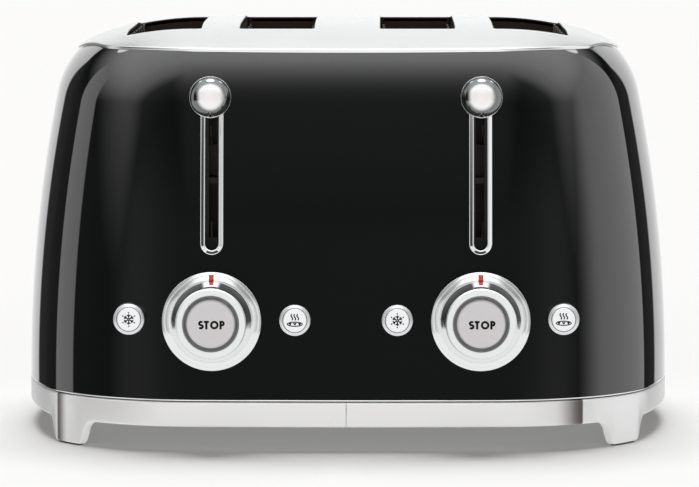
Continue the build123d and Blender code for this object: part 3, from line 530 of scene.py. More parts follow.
def rounded_box_path(half_x, half_y, corner, steps=10):
    """Points round a rectangle with round corners, counter-clockwise from the right.

    Each quarter circle is followed by a straight side."""
    pieces = []
    for quarter, (sx, sy) in enumerate(((1, 1), (-1, 1), (-1, -1), (1, -1))):
        turn = np.linspace(0, pi / 2, steps) + quarter * pi / 2
        pieces.append(np.column_stack([sx * (half_x - corner) + corner * np.cos(turn),
                                       sy * (half_y - corner) + corner * np.sin(turn)]))
        start = pieces[-1][-1]
        next_sx, next_sy = ((-1, 1), (-1, -1), (1, -1), (1, 1))[quarter]
        turn = (quarter + 1) * pi / 2
        end = np.array([next_sx * (half_x - corner) + corner * cos(turn),
                        next_sy * (half_y - corner) + corner * sin(turn)])
        along = np.linspace(0, 1, 42 if quarter % 2 else 14)[1:-1, None]
        pieces.append(start + (end - start) * along)
    return np.concatenate(pieces)


def corner_centre():
    """The centre of the right rear corner arc, tangent to the front bow's and the side bow's circles."""
    rear_y, side_x = -(FRONT_BOW - HALF_DEPTH), HALF_WIDTH - SIDE_BOW
    to_rear, to_side = FRONT_BOW - CORNER, SIDE_BOW - CORNER
    span = hypot(rear_y, side_x)
    along = (to_rear**2 - to_side**2 + span**2) / (2 * span)
    across = sqrt(to_rear**2 - along**2)
    ux, uy = side_x / span, -rear_y / span
    return ux * along + uy * across, rear_y + uy * along - ux * across


CORNER_X, CORNER_Y = corner_centre()
# The casting's painted reflection stripes are placed by the bearing round the corner's centre.
MATERIALS["casting"] = skirt_metal()
FRONT_TURN = atan2(CORNER_X, CORNER_Y + FRONT_BOW - HALF_DEPTH)
SIDE_TURN = atan2(CORNER_Y, CORNER_X + SIDE_BOW - HALF_WIDTH)


def outline_stations(corner_steps=46):
    """Stations round the housing's outline: arc centre x, arc centre y, arc radius and bearing.

    A point at an inset is the centre plus (radius - inset) times (cos, sin) of the bearing."""
    arcs = []
    for sx, sy, start in ((1, 1, 0), (-1, 1, 90), (-1, -1, 180), (1, -1, 270)):
        flips = (start // 90) % 2
        side = (sx * (HALF_WIDTH - SIDE_BOW), 0, SIDE_BOW)
        end = (0, sy * (HALF_DEPTH - FRONT_BOW), FRONT_BOW)
        corner = (sx * CORNER_X, sy * CORNER_Y, CORNER)
        base = radians(start)
        side_span = (0, SIDE_TURN) if not flips else (pi / 2 - SIDE_TURN, pi / 2)
        end_span = (pi / 2 - FRONT_TURN, pi / 2) if not flips else (0, FRONT_TURN)
        corner_span = (SIDE_TURN, pi / 2 - FRONT_TURN) if not flips else (FRONT_TURN, pi / 2 - SIDE_TURN)
        order = ((side, side_span, 18), (corner, corner_span, corner_steps), (end, end_span, 24))
        for (cx, cy, radius), (low, high), steps in (order if not flips else order[::-1]):
            bearing = base + np.linspace(low, high, steps, endpoint=False)
            arcs.append(np.column_stack([np.full((steps, 3), (cx, cy, radius)), bearing]))
    return np.concatenate(arcs)


STATIONS = outline_stations()


def at_inset(stations, inset):
    """Points of the outline at insets: one row per inset (or grid of insets), one column per station."""
    cx, cy, radius, bearing = stations.T
    reach = radius - inset
    return cx + reach * np.cos(bearing), AXIS_Y + cy + reach * np.sin(bearing)


def crown(x, y):
    """Height of the plate's top: an arc along Y beyond a flat middle, less a shoulder arc across X.

    The shoulder's radius eases towards the front and the back."""
    y = y - AXIS_Y
    beyond = np.maximum(np.abs(y) - CROWN_FLAT_LENGTH, 0)
    level = PLATE_TOP - CROWN_RADIUS + np.sqrt(CROWN_RADIUS**2 - beyond**2)
    radius = CROWN_SHOULDER / (1 - CROWN_EASING * (y / HALF_DEPTH) ** 2)
    out = np.maximum(np.abs(x) - CROWN_FLAT, 0)
    return level - radius + np.sqrt(radius**2 - out**2)


BELLY_TURN = asin((PLATE_TOP - SHOULDER_DROP - SHELL_FOOT) / BELLY)
SHOULDER_INSET = BELLY - (BELLY - SHOULDER) * cos(BELLY_TURN)
SHOULDER_HEIGHT = SHELL_FOOT + (BELLY - SHOULDER) * sin(BELLY_TURN)


def side_profile(turn):
    """Inset and height of the housing's side at an angle above level: the belly's arc, then the shoulder's.

    On each arc the inset is a constant less the radius times the angle's cosine, and the height a constant
    plus the radius times its sine."""
    belly = turn < BELLY_TURN
    inset = np.where(belly, BELLY - BELLY * np.cos(turn), SHOULDER_INSET - SHOULDER * np.cos(turn))
    height = np.where(belly, SHELL_FOOT + BELLY * np.sin(turn), SHOULDER_HEIGHT + SHOULDER * np.sin(turn))
    return inset, height


def belly_inset(z):
    """How far the housing's side is drawn in at a height: the belly's arc, then the shoulder's."""
    up = np.clip((z - SHELL_FOOT) / BELLY, -1, 1)
    over = np.clip((z - SHOULDER_HEIGHT) / SHOULDER, -1, 1)
    low = BELLY - BELLY * np.sqrt(1 - up**2)
    high = SHOULDER_INSET - SHOULDER * np.sqrt(1 - over**2)
    return np.where(np.asarray(z) < PLATE_TOP - SHOULDER_DROP, low, high)


def front_face(x, z, proud=0.0):
    """Y of the housing's front: the front bow's or the corner's circle, drawn in by the side profile."""
    inset = belly_inset(z) - proud
    bow = HALF_DEPTH - FRONT_BOW + np.sqrt((FRONT_BOW - inset) ** 2 - np.asarray(x) ** 2)
    beyond = np.clip(np.abs(x) - CORNER_X, 0, CORNER * 0.98)
    turned = CORNER_Y + np.sqrt(np.maximum((CORNER - inset) ** 2 - beyond**2, 0))
    return AXIS_Y - np.where(np.abs(x) < (FRONT_BOW - inset) * sin(FRONT_TURN), bow, turned)


def top_turn(stations, inner):
    """The shoulder angle at which the side meets the plate's underside, found by halving at every station."""
    low, high = np.full(len(stations), BELLY_TURN), np.full(len(stations), pi / 2)
    for _ in range(40):
        middle = (low + high) / 2
        inset = SHOULDER_INSET - (SHOULDER - inner) * np.cos(middle)
        height = SHOULDER_HEIGHT + (SHOULDER - inner) * np.sin(middle)
        under = crown(*at_inset(stations, inset)) - PLATE_THICKNESS
        low, high = np.where(height < under, middle, low), np.where(height < under, high, middle)
    return low


def shell_skin(inner):
    """One skin of the shell: outline stations by angles up the belly and shoulder, drawn in by inner."""
    last = top_turn(STATIONS, inner)
    belly = np.linspace(0, BELLY_TURN, 44, endpoint=False)[:, None] + 0 * last
    shoulder = BELLY_TURN + (last - BELLY_TURN) * np.linspace(0, 1, 30)[:, None]
    turn = np.concatenate([belly, shoulder])
    inset, height = side_profile(turn)
    inset, height = inset + inner * np.cos(turn), height - inner * np.sin(turn)
    if inner:
        height[0] += inner
    x, y = at_inset(STATIONS, inset)
    return np.stack([x, y, height], axis=-1)


def housing_shell():
    """The drawn shell: outer and inner skins joined at the top and at a turned-in foot, with openings cut."""
    outer, inner = shell_skin(0.0), shell_skin(SHELL_WALL)
    flange = []
    for inset, rise in ((FOOT_FLANGE, SHELL_WALL), (FOOT_FLANGE, 0.0)):
        x, y = at_inset(STATIONS, inset)
        flange.append(np.stack([x, y, np.full_like(x, SHELL_FOOT + rise)], axis=-1))
    loop = np.concatenate([outer, inner[::-1], np.stack(flange)])
    shell = make_piece("housing", [(loop, True, True)], "enamel", "housing", ["housing_shell"])
    front, back = AXIS_Y - 0.2, AXIS_Y - 0.13
    cutters = []
    for side in (-1, 1):
        slot = slot_path(side * LEVER_X, SLOT_LOW - BEZEL_RIM / 2, SLOT_HIGH + BEZEL_RIM / 2,
                         SLOT_HALF + BEZEL_RIM / 2)
        cutters.append(cutter_from(slot, front, back, "Y"))
        cutters.append(cutter_from(ring_path((side * DIAL_X, DIAL_HEIGHT), CONTROL_HOLE), front, back, "Y"))
        wide = rounded_box_path(TRAY_HALF_WIDTH, TRAY_HALF_HEIGHT, TRAY_CORNER, 4)
        wide = wide + np.array([side * TRAY_X, TRAY_HEIGHT])
        cutters.append(cutter_from(wide, AXIS_Y + 0.084, AXIS_Y + 0.2, "Y"))
    for x, _ in BUTTONS.values():
        cutters.append(cutter_from(ring_path((x, BUTTON_HEIGHT), BUTTON_HOLE), front, back, "Y"))
    gland = ring_path((0, GLAND_HEIGHT), GLAND_HOLE)
    cutters.append(cutter_from(gland, AXIS_Y + 0.13, AXIS_Y + 0.2, "Y"))
    cut_piece(shell, cutters)


def plate_rim_inset():
    """Inset of the plate's outline: where the shoulder's arc, moved out by the overhang, meets the plate."""
    turn = top_turn(STATIONS, -PLATE_OVERHANG)
    return SHOULDER_INSET - (SHOULDER + PLATE_OVERHANG) * np.cos(turn)


def plate_hem():
    """The rolled hem under the plate's edge: a round bead that follows the edge."""
    rows = []
    middle = plate_rim_inset() + 0.8 * HEM_RADIUS
    for turn in np.linspace(0, 2 * pi, 12, endpoint=False):
        x, y = at_inset(STATIONS, middle - HEM_RADIUS * cos(turn))
        height = crown(x, y) - PLATE_THICKNESS - 0.6 * HEM_RADIUS
        rows.append(np.stack([x, y, height + HEM_RADIUS * sin(turn)], axis=-1))
    hem = make_piece("plate_hem", [(np.stack(rows), True, True)], "chrome", "housing")


def well_path(out):
    """Points round a bread well's mouth, moved outwards."""
    return rounded_box_path(WELL_HALF_WIDTH + out, WELL_HALF_LENGTH + out, WELL_CORNER + out)


def top_plate():
    """The crowned plate: rings drawn in from its outline to the middle, a round edge and an underside."""
    rim_inset = plate_rim_inset()
    x, y = at_inset(STATIONS, rim_inset)
    rim = np.column_stack([x, y])
    axis = np.array([0, AXIS_Y])
    rings = []
    for share in np.linspace(0, 1, 34)[1:] ** 0.85:
        spot = axis + share * (rim - axis) * (1 - PLATE_EDGE / 0.14)
        rings.append(np.column_stack([spot, crown(*spot.T)]))
    edge = []
    for turn in np.linspace(0, pi / 2, 6)[1:]:
        inset = rim_inset + PLATE_EDGE * (1 - sin(turn))
        ex, ey = at_inset(STATIONS, inset)
        edge.append(np.column_stack([ex, ey, crown(ex, ey) - PLATE_EDGE * (1 - cos(turn))]))
    edge.append(np.column_stack([x, y, crown(x, y) - PLATE_THICKNESS]))
    under = []
    for share in np.linspace(1, 0, 14)[1:-1]:
        spot = axis + share * (rim - axis)
        under.append(np.column_stack([spot, crown(*spot.T) - PLATE_THICKNESS]))
    middle = np.tile((0, AXIS_Y, PLATE_TOP), (len(STATIONS), 1))
    rows = np.stack([middle] + rings + edge + under + [middle - (0, 0, PLATE_THICKNESS)])
    plate = make_piece("top_plate_sheet", [(rows, False, True)], "plate", "housing", ["top_plate"],
                       radians(50))
    cutters = []
    for x in WELLS:
        hole = well_path(LIP_WALL)
        cutters.append(cutter_from(hole + np.array([x, AXIS_Y]), 0.17, 0.24, "Z"))
    cut_piece(plate, cutters)


def slot_lips():
    """The turned-in walls of the bread slots, coloured a dark brown that carries painted shade: a thin
    upright band round each, just under the top.
    """
    patches = []
    for x in WELLS:
        rows = []
        for out, drop in ((LIP_WALL, LIP_REVEAL), (0, LIP_REVEAL), (0, LIP_DEPTH), (LIP_WALL, LIP_DEPTH)):
            path = well_path(out) + (x, AXIS_Y)
            rows.append(np.column_stack([path, crown(*path.T) - drop]))
        patches.append((np.stack(rows), True, True))
    lips = make_piece("slot_lips", patches, "warm_sheet", "housing")


def leg_edge(across):
    """Height of the skirt's lower edge at a distance across from the middle of a leg.

    In turn: the leg's sole, its toe arc, its flared side, its root arc, then the band's straight edge."""
    a = np.abs(across)
    steep = pi / 2 - LEG_FLARE
    toe = LEG_HALF - LEG_TOE * tan(steep / 2)
    toe_end = toe + LEG_TOE * sin(steep)
    corner = LEG_HALF + (SKIRT_BOTTOM - PAD_TOP) * tan(LEG_FLARE)
    root = corner + LEG_ROOT * tan(steep / 2)
    root_start = root - LEG_ROOT * sin(steep)
    return np.select(
        [a < toe, a < toe_end, a < root_start, a < root],
        [PAD_TOP + 0 * a,
         PAD_TOP + LEG_TOE - np.sqrt(np.maximum(LEG_TOE**2 - (a - toe) ** 2, 0)),
         PAD_TOP + (a - LEG_HALF) / tan(LEG_FLARE),
         SKIRT_BOTTOM - LEG_ROOT + np.sqrt(np.maximum(LEG_ROOT**2 - (root - a) ** 2, 0))],
        SKIRT_BOTTOM + 0 * a)


def skirt_section(low, high):
    """Inset and height round the skirt's section at every station: straight sides with round edges."""
    insets, heights = [], []
    outside, inside = SKIRT_EDGE, SKIRT_WALL - SKIRT_EDGE
    bottom, top = low + SKIRT_EDGE, high - SKIRT_EDGE
    rounds = ((outside, bottom, pi), (outside, top, pi / 2), (inside, top, 0), (inside, bottom, -pi / 2))
    for centre_inset, centre_height, start in rounds:
        for turn in np.linspace(start + pi / 2, start, 6):
            insets.append(centre_inset + SKIRT_EDGE * np.cos(turn) + 0 * low)
            heights.append(centre_height + SKIRT_EDGE * np.sin(turn))
    return np.stack(insets), np.stack(heights)


def skirt_half(side, name):
    """One half of the cast skirt: its section carried round the outline from seam to seam, and capped."""
    stations = outline_stations(110)
    x, y = at_inset(stations, 0.0)
    keep = side * x > SKIRT_SEAM
    order = np.argsort(np.where(keep, np.arctan2(y - AXIS_Y, side * x), np.inf))[: keep.sum()]
    stations, x, y = stations[order], x[order], y[order]
    aside, along = np.abs(x) - CORNER_X, np.abs(y - AXIS_Y) - CORNER_Y
    low = leg_edge(aside * sin(LEG_DIRECTION) - along * cos(LEG_DIRECTION))
    inset, height = skirt_section(low, SKIRT_TOP + 0 * low)
    px, py = at_inset(stations, inset)
    loop = np.stack([px, py, height], axis=-1)
    ends = []
    for station, place in ((0, -1), (-1, 1)):
        end = loop[:, station].copy()
        end[:, 0] = side * SKIRT_SEAM / 2
        ends.append(end)
    loop = np.concatenate([ends[0][:, None], loop, ends[1][:, None]], axis=1)
    caps = [(np.stack([end, np.tile(end.mean(axis=0), (len(end), 1))]), False, True) for end in ends]
    skirt = make_piece(f"skirt_casting_{name}", [(loop, True, False)] + caps, "casting", "housing",
                       [f"skirt_{name}"])


def trim_bead():
    """The bright bead between shell and skirt: a circle carried round the outline."""
    rows = []
    for turn in np.linspace(0, 2 * pi, 12, endpoint=False):
        x, y = at_inset(STATIONS, -TRIM_RADIUS * cos(turn))
        height = SHELL_FOOT - TRIM_DROP + TRIM_RADIUS * sin(turn)
        rows.append(np.stack([x, y, np.full_like(x, height)], axis=-1))
    trim = make_piece("trim_bead", [(np.stack(rows), True, True)], "chrome", "housing", ["trim_ring"])


def lathe(centre, reach, profile, steps=96):
    """A profile of (radius, height) points turned about an axis along -Y through centre.

    Heights count forwards from the plane at reach in front of the housing's axis."""
    turn = np.linspace(0, 2 * pi, steps, endpoint=False)
    radius, height = np.asarray(profile).T
    x = centre[0] + radius[:, None] * np.cos(turn)
    z = centre[1] + radius[:, None] * np.sin(turn)
    y = np.broadcast_to(AXIS_Y - reach - height[:, None], x.shape)
    return np.stack([x, y, z], axis=-1)


def eased(corners, radii, steps=6):
    """A run of (radius, height) corners with each corner replaced by a round of its own size."""
    corners = np.asarray(corners, dtype=float)
    done = [corners[0]]
    for before, corner, after, radius in zip(corners, corners[1:], corners[2:], radii):
        if not radius:
            done.append(corner)
            continue
        back = (before - corner) / np.linalg.norm(before - corner)
        ahead = (after - corner) / np.linalg.norm(after - corner)
        half = np.arccos(np.clip(back @ ahead, -1, 1)) / 2
        share = np.linspace(0, 1, steps)[:, None]
        start, end = corner + back * radius / tan(half), corner + ahead * radius / tan(half)
        middle = corner + (back + ahead) / np.linalg.norm(back + ahead) * radius / sin(half)
        arm = (1 - share) * (start - middle) + share * (end - middle)
        done.extend(middle + radius * arm / np.linalg.norm(arm, axis=1)[:, None])
    done.append(corners[-1])
    return np.array(done)


# The dial's flange and barrel: corners as (radius, height), then the round of each corner between the ends
FLANGE = eased([(0.0100, 0.0), (0.0251, 0.0), (0.0251, 0.0006), (0.0236, 0.0012), (0.0234, 0.0009),
                (0.0232, 0.0013), (0.0214, 0.0020), (0.0211, 0.0015), (0.0206, 0.0022), (0.0179, 0.0128)],
               (0.0001, 0.0002, 0.0002, 0.00008, 0.00015, 0.00015, 0.0001, 0.0002))


def dial_knob(side, name):
    """The browning dial: a flange of two sloping rings, and a tapered barrel with a satin face."""
    centre = (side * DIAL_X, DIAL_HEIGHT)
    turned = make_piece(f"dial_barrel_{name}", [(lathe(centre, DIAL_REACH, FLANGE), False, True)],
                        "dial_chrome", f"dial_{name}", [f"dial_{name}"])
    rim = eased([tuple(FLANGE[-1]), (0.0173, DIAL_FACE), (0.0144, DIAL_FACE), (0.0142, DIAL_FACE - 0.0003),
                 (0.0142, 0.0020), (0.0100, 0.0020)], (0.0004, 0.0001, 0.0001, 0.0))
    face = make_piece(f"dial_face_{name}", [(lathe(centre, DIAL_REACH, rim), False, True)],
                      "dial_face", f"dial_{name}")


def dial_mark(side, name):
    """The red mark: a narrow strip laid on the flange's rings at the top of the dial."""
    out, up = FLANGE.T
    radius, height = FLANGE[(out < MARK_OUTER) & (out > MARK_INNER) & (up > MARK_FLOOR)].T
    order = np.argsort(-radius)
    radius, height = radius[order], height[order]
    rows = []
    for across, lift in ((-1, 0.0), (-1, MARK_LIFT), (1, MARK_LIFT), (1, 0.0)):
        rows.append(np.column_stack([np.full(len(radius), side * DIAL_X + across * MARK_HALF),
                                     AXIS_Y - DIAL_REACH - height - lift + MARK_SUNK, DIAL_HEIGHT + radius]))
    mark = make_piece(f"mark_{name}", [(np.stack(rows), True, False)], "red", f"dial_{name}",
                      [f"dial_mark_{name}"])


def stop_controls(side, name):
    """The fixed dark cup inside a dial, and the stop button in it."""
    centre = (side * DIAL_X, DIAL_HEIGHT)
    cup = eased([(0.01395, 0.0030), (0.01395, CUP_FACE - 0.0003), (0.0134, CUP_FACE), (0.0128, CUP_FACE),
                 (0.01235, CUP_FACE - 0.0006), (0.01235, 0.0060)], (0.0001, 0.0002, 0.0002, 0.0001))
    made = make_piece(f"cup_ring_{name}", [(lathe(centre, DIAL_REACH, cup), False, True)], "cup", "housing")
    cap = eased([(0.0001, STOP_FACE), (STOP_RADIUS, STOP_FACE - 0.0002), (STOP_RADIUS, CAP_BACK),
                 (0.0001, CAP_BACK)], (0.0007, 0.0002))
    button = make_piece(f"stop_cap_{name}", [(lathe(centre, DIAL_REACH, cap), False, True)],
                        "stop_face", f"stop_{name}")


BUTTONS = {
    "defrost_left": (-DIAL_X - BUTTON_SPACING, OUTER_REACH),
    "reheat_left": (-DIAL_X + BUTTON_SPACING, INNER_REACH),
    "defrost_right": (DIAL_X - BUTTON_SPACING, INNER_REACH),
    "reheat_right": (DIAL_X + BUTTON_SPACING, OUTER_REACH),
}


def small_buttons():
    """The sleeves and the caps of the four round buttons, turned about their axes."""
    sleeves = []
    for name, (x, reach) in BUTTONS.items():
        depth = reach - SLEEVE_BACK
        ring = eased([(SLEEVE_RADIUS, -depth), (SLEEVE_RADIUS, -0.0003), (0.0063, 0.0004), (0.0062, -depth)],
                     (0.0003, 0.0001))
        sleeves.append((lathe((x, BUTTON_HEIGHT), reach, ring, 72), False, True))
        cap = eased([(0.0001, BUTTON_PROUD), (BUTTON_RADIUS, BUTTON_PROUD - 0.0001),
                     (BUTTON_RADIUS, BUTTON_BACK), (0.0001, BUTTON_BACK)], (0.0006, 0.0002))
        button = make_piece(f"cap_{name}", [(lathe((x, BUTTON_HEIGHT), reach, cap, 72), False, True)],
                            "button_face", name, [name.replace("_", "_button_")])
    made = make_piece("button_rims", sleeves, "dial_face", "housing", ["button_sleeves"])


def ribbon(path, half, closed=False):
    """Left and right edges of a flat stroke: the path moved sideways by half, square to its run."""
    path = np.asarray(path, dtype=float)
    ahead = np.roll(path, -1, axis=0) - np.roll(path, 1, axis=0)
    if not closed:
        ahead[0], ahead[-1] = path[1] - path[0], path[-1] - path[-2]
    ahead /= np.linalg.norm(ahead, axis=1)[:, None]
    side = np.column_stack([-ahead[:, 1], ahead[:, 0]])
    return np.stack([path + half * side, path - half * side])


def arc(cx, cy, rx, ry, start, end, steps=20):
    """Points on an ellipse between two angles in degrees."""
    turn = np.radians(np.linspace(start, end, steps))
    return np.column_stack([cx + rx * np.cos(turn), cy + ry * np.sin(turn)])


def printed(name, strokes, centre, face_y, body):
    """Flat strokes laid on a face that looks along -Y, each a thin raised strip."""
    patches = []
    for path, half, closed in strokes:
        edges = ribbon(path, half, closed)
        layers = []
        for index, lift in ((0, 0.0), (0, INK_LIFT), (1, INK_LIFT), (1, 0.0)):
            flat = edges[index]
            layers.append(np.column_stack([centre[0] + flat[:, 0], np.full(len(flat), face_y - lift),
                                           centre[1] + flat[:, 1]]))
        patches.append((np.stack(layers), True, closed))
    made = make_piece(name, patches, "ink", body)


def stop_word():
    """The word STOP as strokes: a double bow, a bar and stem, a ring, and a stem with a bow."""
    h, half = 0.0043, 0.00056
    top, foot = h / 2 - half, -h / 2 + half
    bow = (top - foot) / 4
    s_x, t_x, o_x, p_x = -0.00545, -0.00270, 0.00130, 0.00445
    s_path = np.concatenate([arc(s_x, top - bow, bow * 1.05, bow, 35, 270, 22),
                             arc(s_x, foot + bow, bow * 1.12, bow, 90, -150, 22)[1:]])
    ring = (top - foot) / 2
    p_bow = bow * 1.05
    p_path = np.concatenate([[(p_x, top), (p_x + 0.0006, top)],
                             arc(p_x + 0.0007, top - p_bow, p_bow, p_bow, 90, -90, 16),
                             [(p_x + 0.0006, top - 2 * p_bow), (p_x, top - 2 * p_bow)]])
    return [
        (s_path, half, False),
        ([(t_x - 0.00125, top), (t_x + 0.00125, top)], half, False),
        ([(t_x, top), (t_x, foot - half)], half, False),
        (arc(o_x, 0, ring, ring, 0, 360, 41)[:-1], half, True),
        ([(p_x, top + half), (p_x, foot - half)], half, False),
        (p_path, half, False),
    ]


def snow_sign():
    """A plain snow crystal: six arms, each with a pair of short barbs and a dot."""
    strokes = []
    for k in range(6):
        turn = pi / 2 + k * pi / 3
        out = np.array([cos(turn), sin(turn)])
        side = np.array([-sin(turn), cos(turn)])
        strokes.append(([out * 0.0002, out * 0.0027], 0.00030, False))
        for s in (-1, 1):
            strokes.append(([out * 0.0014, out * 0.0023 + side * s * 0.0009], 0.00024, False))
        strokes.append((arc(*(out * 0.0034), 0.00020, 0.00020, 0, 360, 13)[:-1], 0.00017, True))
    return strokes


def steam_sign():
    """Three wisps of steam, each one wave, above a flat oval roll with cuts."""
    strokes = []
    rise = np.linspace(0, 1, 24)
    for shift in (-0.0015, 0.0, 0.0015):
        strokes.append((np.column_stack([shift + 0.00042 * np.sin(2 * pi * rise), 0.0002 + 0.0031 * rise]),
                        0.00031, False))
    strokes.append((arc(0, -0.0018, 0.0038, 0.00105, 0, 360, 49)[:-1], 0.00026, True))
    for shift, half in ((-0.0024, 0.00045), (0.0, 0.0007), (0.0024, 0.00045)):
        strokes.append(([(shift - half, -0.0012), (shift + 0.2 * half, -0.0022)], 0.00034, False))
        strokes.append(([(shift + half, -0.0012), (shift - 0.2 * half, -0.0022)], 0.00034, False))
    return strokes


def signs():
    """The word on each stop button and the signs on the small ones."""
    for side, name in ((-1, "left"), (1, "right")):
        printed(f"stop_word_{name}", stop_word(), (side * DIAL_X + 0.0006, DIAL_HEIGHT - 0.0004),
                AXIS_Y - DIAL_REACH - STOP_FACE + INK_GAP, f"stop_{name}")
    for name, (x, reach) in BUTTONS.items():
        sign = snow_sign() if name.startswith("defrost") else steam_sign()
        printed(f"sign_{name}", sign, (x, BUTTON_HEIGHT), AXIS_Y - reach - BUTTON_PROUD + INK_GAP, name)


def lever_bezel(side, name):
    """The bright rim of a lever slot: an inner bead, a slope and a small outer bead, carried round the slot.

    At a distance w out, a bead's height is its foot plus its rise times the root of
    1 - ((w - place) / half)^2, and the slope falls by SLOPE_FALL times w."""
    x = side * LEVER_X
    rows = []
    for out in np.linspace(0, BEZEL_RIM, 33):
        bead = BEAD_FOOT + BEAD_HALF * sqrt(max(0.0, 1 - ((out - BEAD_HALF) / BEAD_HALF) ** 2))
        slope = SLOPE_TOP - SLOPE_FALL * max(0.0, out - SLOPE_START)
        edge = EDGE_FOOT + EDGE_RISE * sqrt(max(0.0, 1 - ((out - EDGE_PLACE) / EDGE_HALF) ** 2))
        proud = max(bead if out < 2 * BEAD_HALF else 0.0, slope, edge)
        path = slot_path(x, SLOT_LOW - out, SLOT_HIGH + out, SLOT_HALF + out)
        rows.append(np.column_stack([path[:, 0], front_face(path[:, 0], path[:, 1], proud), path[:, 1]]))
    for depth, row in ((BEZEL_SUNK_OUTSIDE, rows[-1]), (BEZEL_SUNK_INSIDE, rows[0])):
        sunk = row.copy()
        sunk[:, 1] += depth
        rows.append(sunk)
    rim = make_piece(f"slot_rim_{name}", [(np.stack(rows), True, True)], "chrome", "housing",
                     [f"lever_bezel_{name}"])


def ball_knob(side, name):
    """The ball: circles of radius R sin(turn) from pole to pole."""
    turn = np.linspace(0, pi, 60)
    profile = np.column_stack([BALL_RADIUS * np.sin(turn), -BALL_RADIUS * np.cos(turn)])
    patches = [(lathe((side * LEVER_X, BALL_HEIGHT), BALL_REACH, profile, 120), False, True)]
    ball = make_piece(f"ball_{name}", patches, "ball", f"lever_{name}", [f"ball_knob_{name}"])
    ball.visible_glossy = False


def dress_nodes():
    """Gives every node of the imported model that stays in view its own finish."""
    finishes = {
        "slot_throats": "warm_sheet", "front_bulkhead": "dark_sheet", "rear_bulkhead": "dark_sheet",
        "base_pan": "sheet",
        "trim_ring": "chrome", "base_gasket": "rubber", "foot_pads": "rubber", "base_screws": "sheet",
        "heat_shields": "sheet", "centre_shield": "sheet", "guide_rods": "wire", "holding_magnets": "iron",
        "control_board": "laminate", "dial_seats": "black", "cord_gland": "rubber",
    }
    for name in ("left", "right"):
        finishes.update({
            f"heater_cards_{name}": "mica", f"heater_ribbons_{name}": "ribbon", f"guards_{name}_a": "wire",
            f"guards_{name}_b": "wire", f"bread_racks_{name}": "sheet", f"carriage_{name}": "dark_sheet",
            f"lever_arm_{name}": "dark_sheet", f"keeper_{name}": "dark_sheet",
            f"return_spring_{name}": "wire",
            f"lever_channel_{name}": "black", f"dial_mark_{name}": "red", f"stop_cup_{name}": "cup",
            f"stop_button_{name}": "stop_face", f"crumb_tray_{name}": "sheet",
        })
    for node, finish in finishes.items():
        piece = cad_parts[node]
        for place in piece.material_slots:
            place.material = MATERIALS[finish]


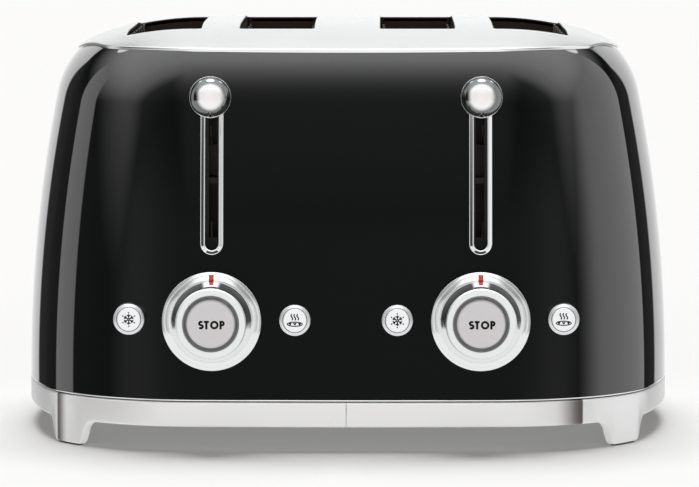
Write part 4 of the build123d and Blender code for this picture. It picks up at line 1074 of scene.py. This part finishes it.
def studio_world():
    """A pale surround: plain light for what is dull, and soft boxes, gaps and a white back for what shines.

    Bearings count from straight behind the object, and heights from level, both in degrees."""
    world = bpy.data.worlds.new("studio")
    bpy.context.scene.world = world
    world.use_nodes = True
    f = Finish(world.node_tree)
    x, y, z = f.parts(f.node("TexCoord").outputs["Generated"])
    bearing = f.maths("ARCTAN2", x, y) * degrees(1)
    height = f.maths("ARCSINE", z) * degrees(1)
    towards_camera = f.maths("ARCCOSINE", y * -1) * degrees(1)

    def band(value, low, high, soft, far_soft=None):
        """1 between two limits and 0 outside them, with soft edges."""
        far = far_soft or soft
        rise = f.ramp(value, low - soft / 2, low + soft / 2)
        return rise * f.ramp(value, high - far / 2, high + far / 2, 1.0, 0.0)

    def spot(place, inner, outer, level):
        """A round lamp seen towards a place."""
        size = sqrt(sum(part * part for part in place))
        near = (x * place[0] + y * place[1] + z * place[2]) / size
        return f.ramp(near, cos(radians(outer)), cos(radians(inner)), 0.0, level)

    aside = f.maths("ABSOLUTE", x)
    bright = f.ramp(towards_camera, 22, 72, 0.97, 0.05) * f.ramp(z, 0.12, 0.32, 1.0, 0.40)
    overhead = f.maths("MAXIMUM", f.ramp(aside, 0.16, 0.42, 1.0, 0.30), f.ramp(y, -0.7, -0.4, 0.0, 1.0))
    lamps = [
        band(bearing, -21.5, 23.5, 1.5) * f.ramp(height, 13, 26, 1.02, 0.10),
        band(bearing, -7, 7, 3) * f.ramp(height, 44, 56, 0.85, 0.0),
        band(bearing, -76, -53, 2.0) * f.ramp(height, 30, 55, 0.85, 0.25),
        band(bearing, 42, 108, 2.0, 30.0) * f.ramp(height, 30, 55, 0.98, 0.3),
        f.ramp(z - 0.3 * y, 0.05, 0.80, 0.0, 1.5) * overhead,
        f.ramp(z, -0.30, -0.16, 0.90, 0.0),
        spot((0.0, 0.36, 0.93), 12, 15, 6.0),
        spot((-0.45, 0.60, 0.66), 4, 5.5, 4.0),
        spot((0.45, 0.60, 0.66), 4, 5.5, 4.0),
    ]
    for lamp in lamps:
        bright = f.maths("MAXIMUM", bright, lamp)
    light = f.node("LightPath")
    camera, glossy = (Value(f, light.outputs[key]) for key in ("Is Camera Ray", "Is Glossy Ray"))
    transmitted = Value(f, light.outputs["Is Transmission Ray"])
    soft = f.ramp(towards_camera, 20, 58, 1.60, 0.19)
    level = camera + (glossy + transmitted) * bright + (1 - camera) * (1 - glossy) * (1 - transmitted) * soft
    tint = f.blend((1 - camera) * (1 - glossy), grey(1), (1.0, 0.955, 0.93, 1))
    glow = f.node("Background", Color=tint, Strength=level).outputs[0]
    f.tree.links.new(glow, f.node("OutputWorld").inputs["Surface"])


def floor_and_lamps():
    """A white floor that keeps the object's shadow, and one broad lamp, nearly overhead."""
    mesh = bpy.data.meshes.new("floor")
    corners = [(x * FLOOR_HALF, y * FLOOR_HALF, 0) for x, y in ((-1, -1), (1, -1), (1, 1), (-1, 1))]
    mesh.from_pydata(corners, [], [(0, 1, 2, 3)])
    floor = add_object("floor", mesh)
    material, f = finish_named("white_floor")
    seen = Value(f, f.node("LightPath").outputs["Is Camera Ray"])
    diffuse = f.node("BsdfDiffuse", Color=grey(FLOOR_TONE)).outputs[0]
    glow = f.node("Emission", Color=grey(1), Strength=seen * FLOOR_GLOW).outputs[0]
    both = f.node("AddShader")
    f.feed(both.inputs[0], diffuse)
    f.feed(both.inputs[1], glow)
    f.surface(both.outputs[0])
    mesh.materials.append(material)
    floor.visible_glossy = False

    lamp = bpy.data.lights.new("top_lamp", "SUN")
    lamp.energy = SUN_ENERGY
    lamp.angle = SUN_SPREAD
    lamp_object = add_object("top_lamp", lamp)
    lamp_object.rotation_euler = (SUN_TILT, 0, 0)
    lamp_object.visible_glossy = False


def camera():
    """The camera, where the photograph was taken from."""
    lens = bpy.data.cameras.new("camera")
    lens.sensor_width = SENSOR
    lens.lens = FOCAL_PIXELS / PHOTO_WIDTH * SENSOR
    lens.clip_end = 60
    body = add_object("camera", lens)
    body.location = CAMERA_PLACE
    body.rotation_euler = (pi / 2 - CAMERA_DOWN, 0, CAMERA_TURN)
    bpy.context.scene.camera = body
    bpy.context.scene.view_settings.view_transform = "Standard"


camera()
studio_world()
floor_and_lamps()
dress_nodes()
housing_shell()
top_plate()
plate_hem()
slot_lips()
trim_bead()
for side, name in ((-1, "left"), (1, "right")):
    skirt_half(side, name)
    dial_knob(side, name)
    dial_mark(side, name)
    stop_controls(side, name)
    lever_bezel(side, name)
    ball_knob(side, name)
small_buttons()
signs()
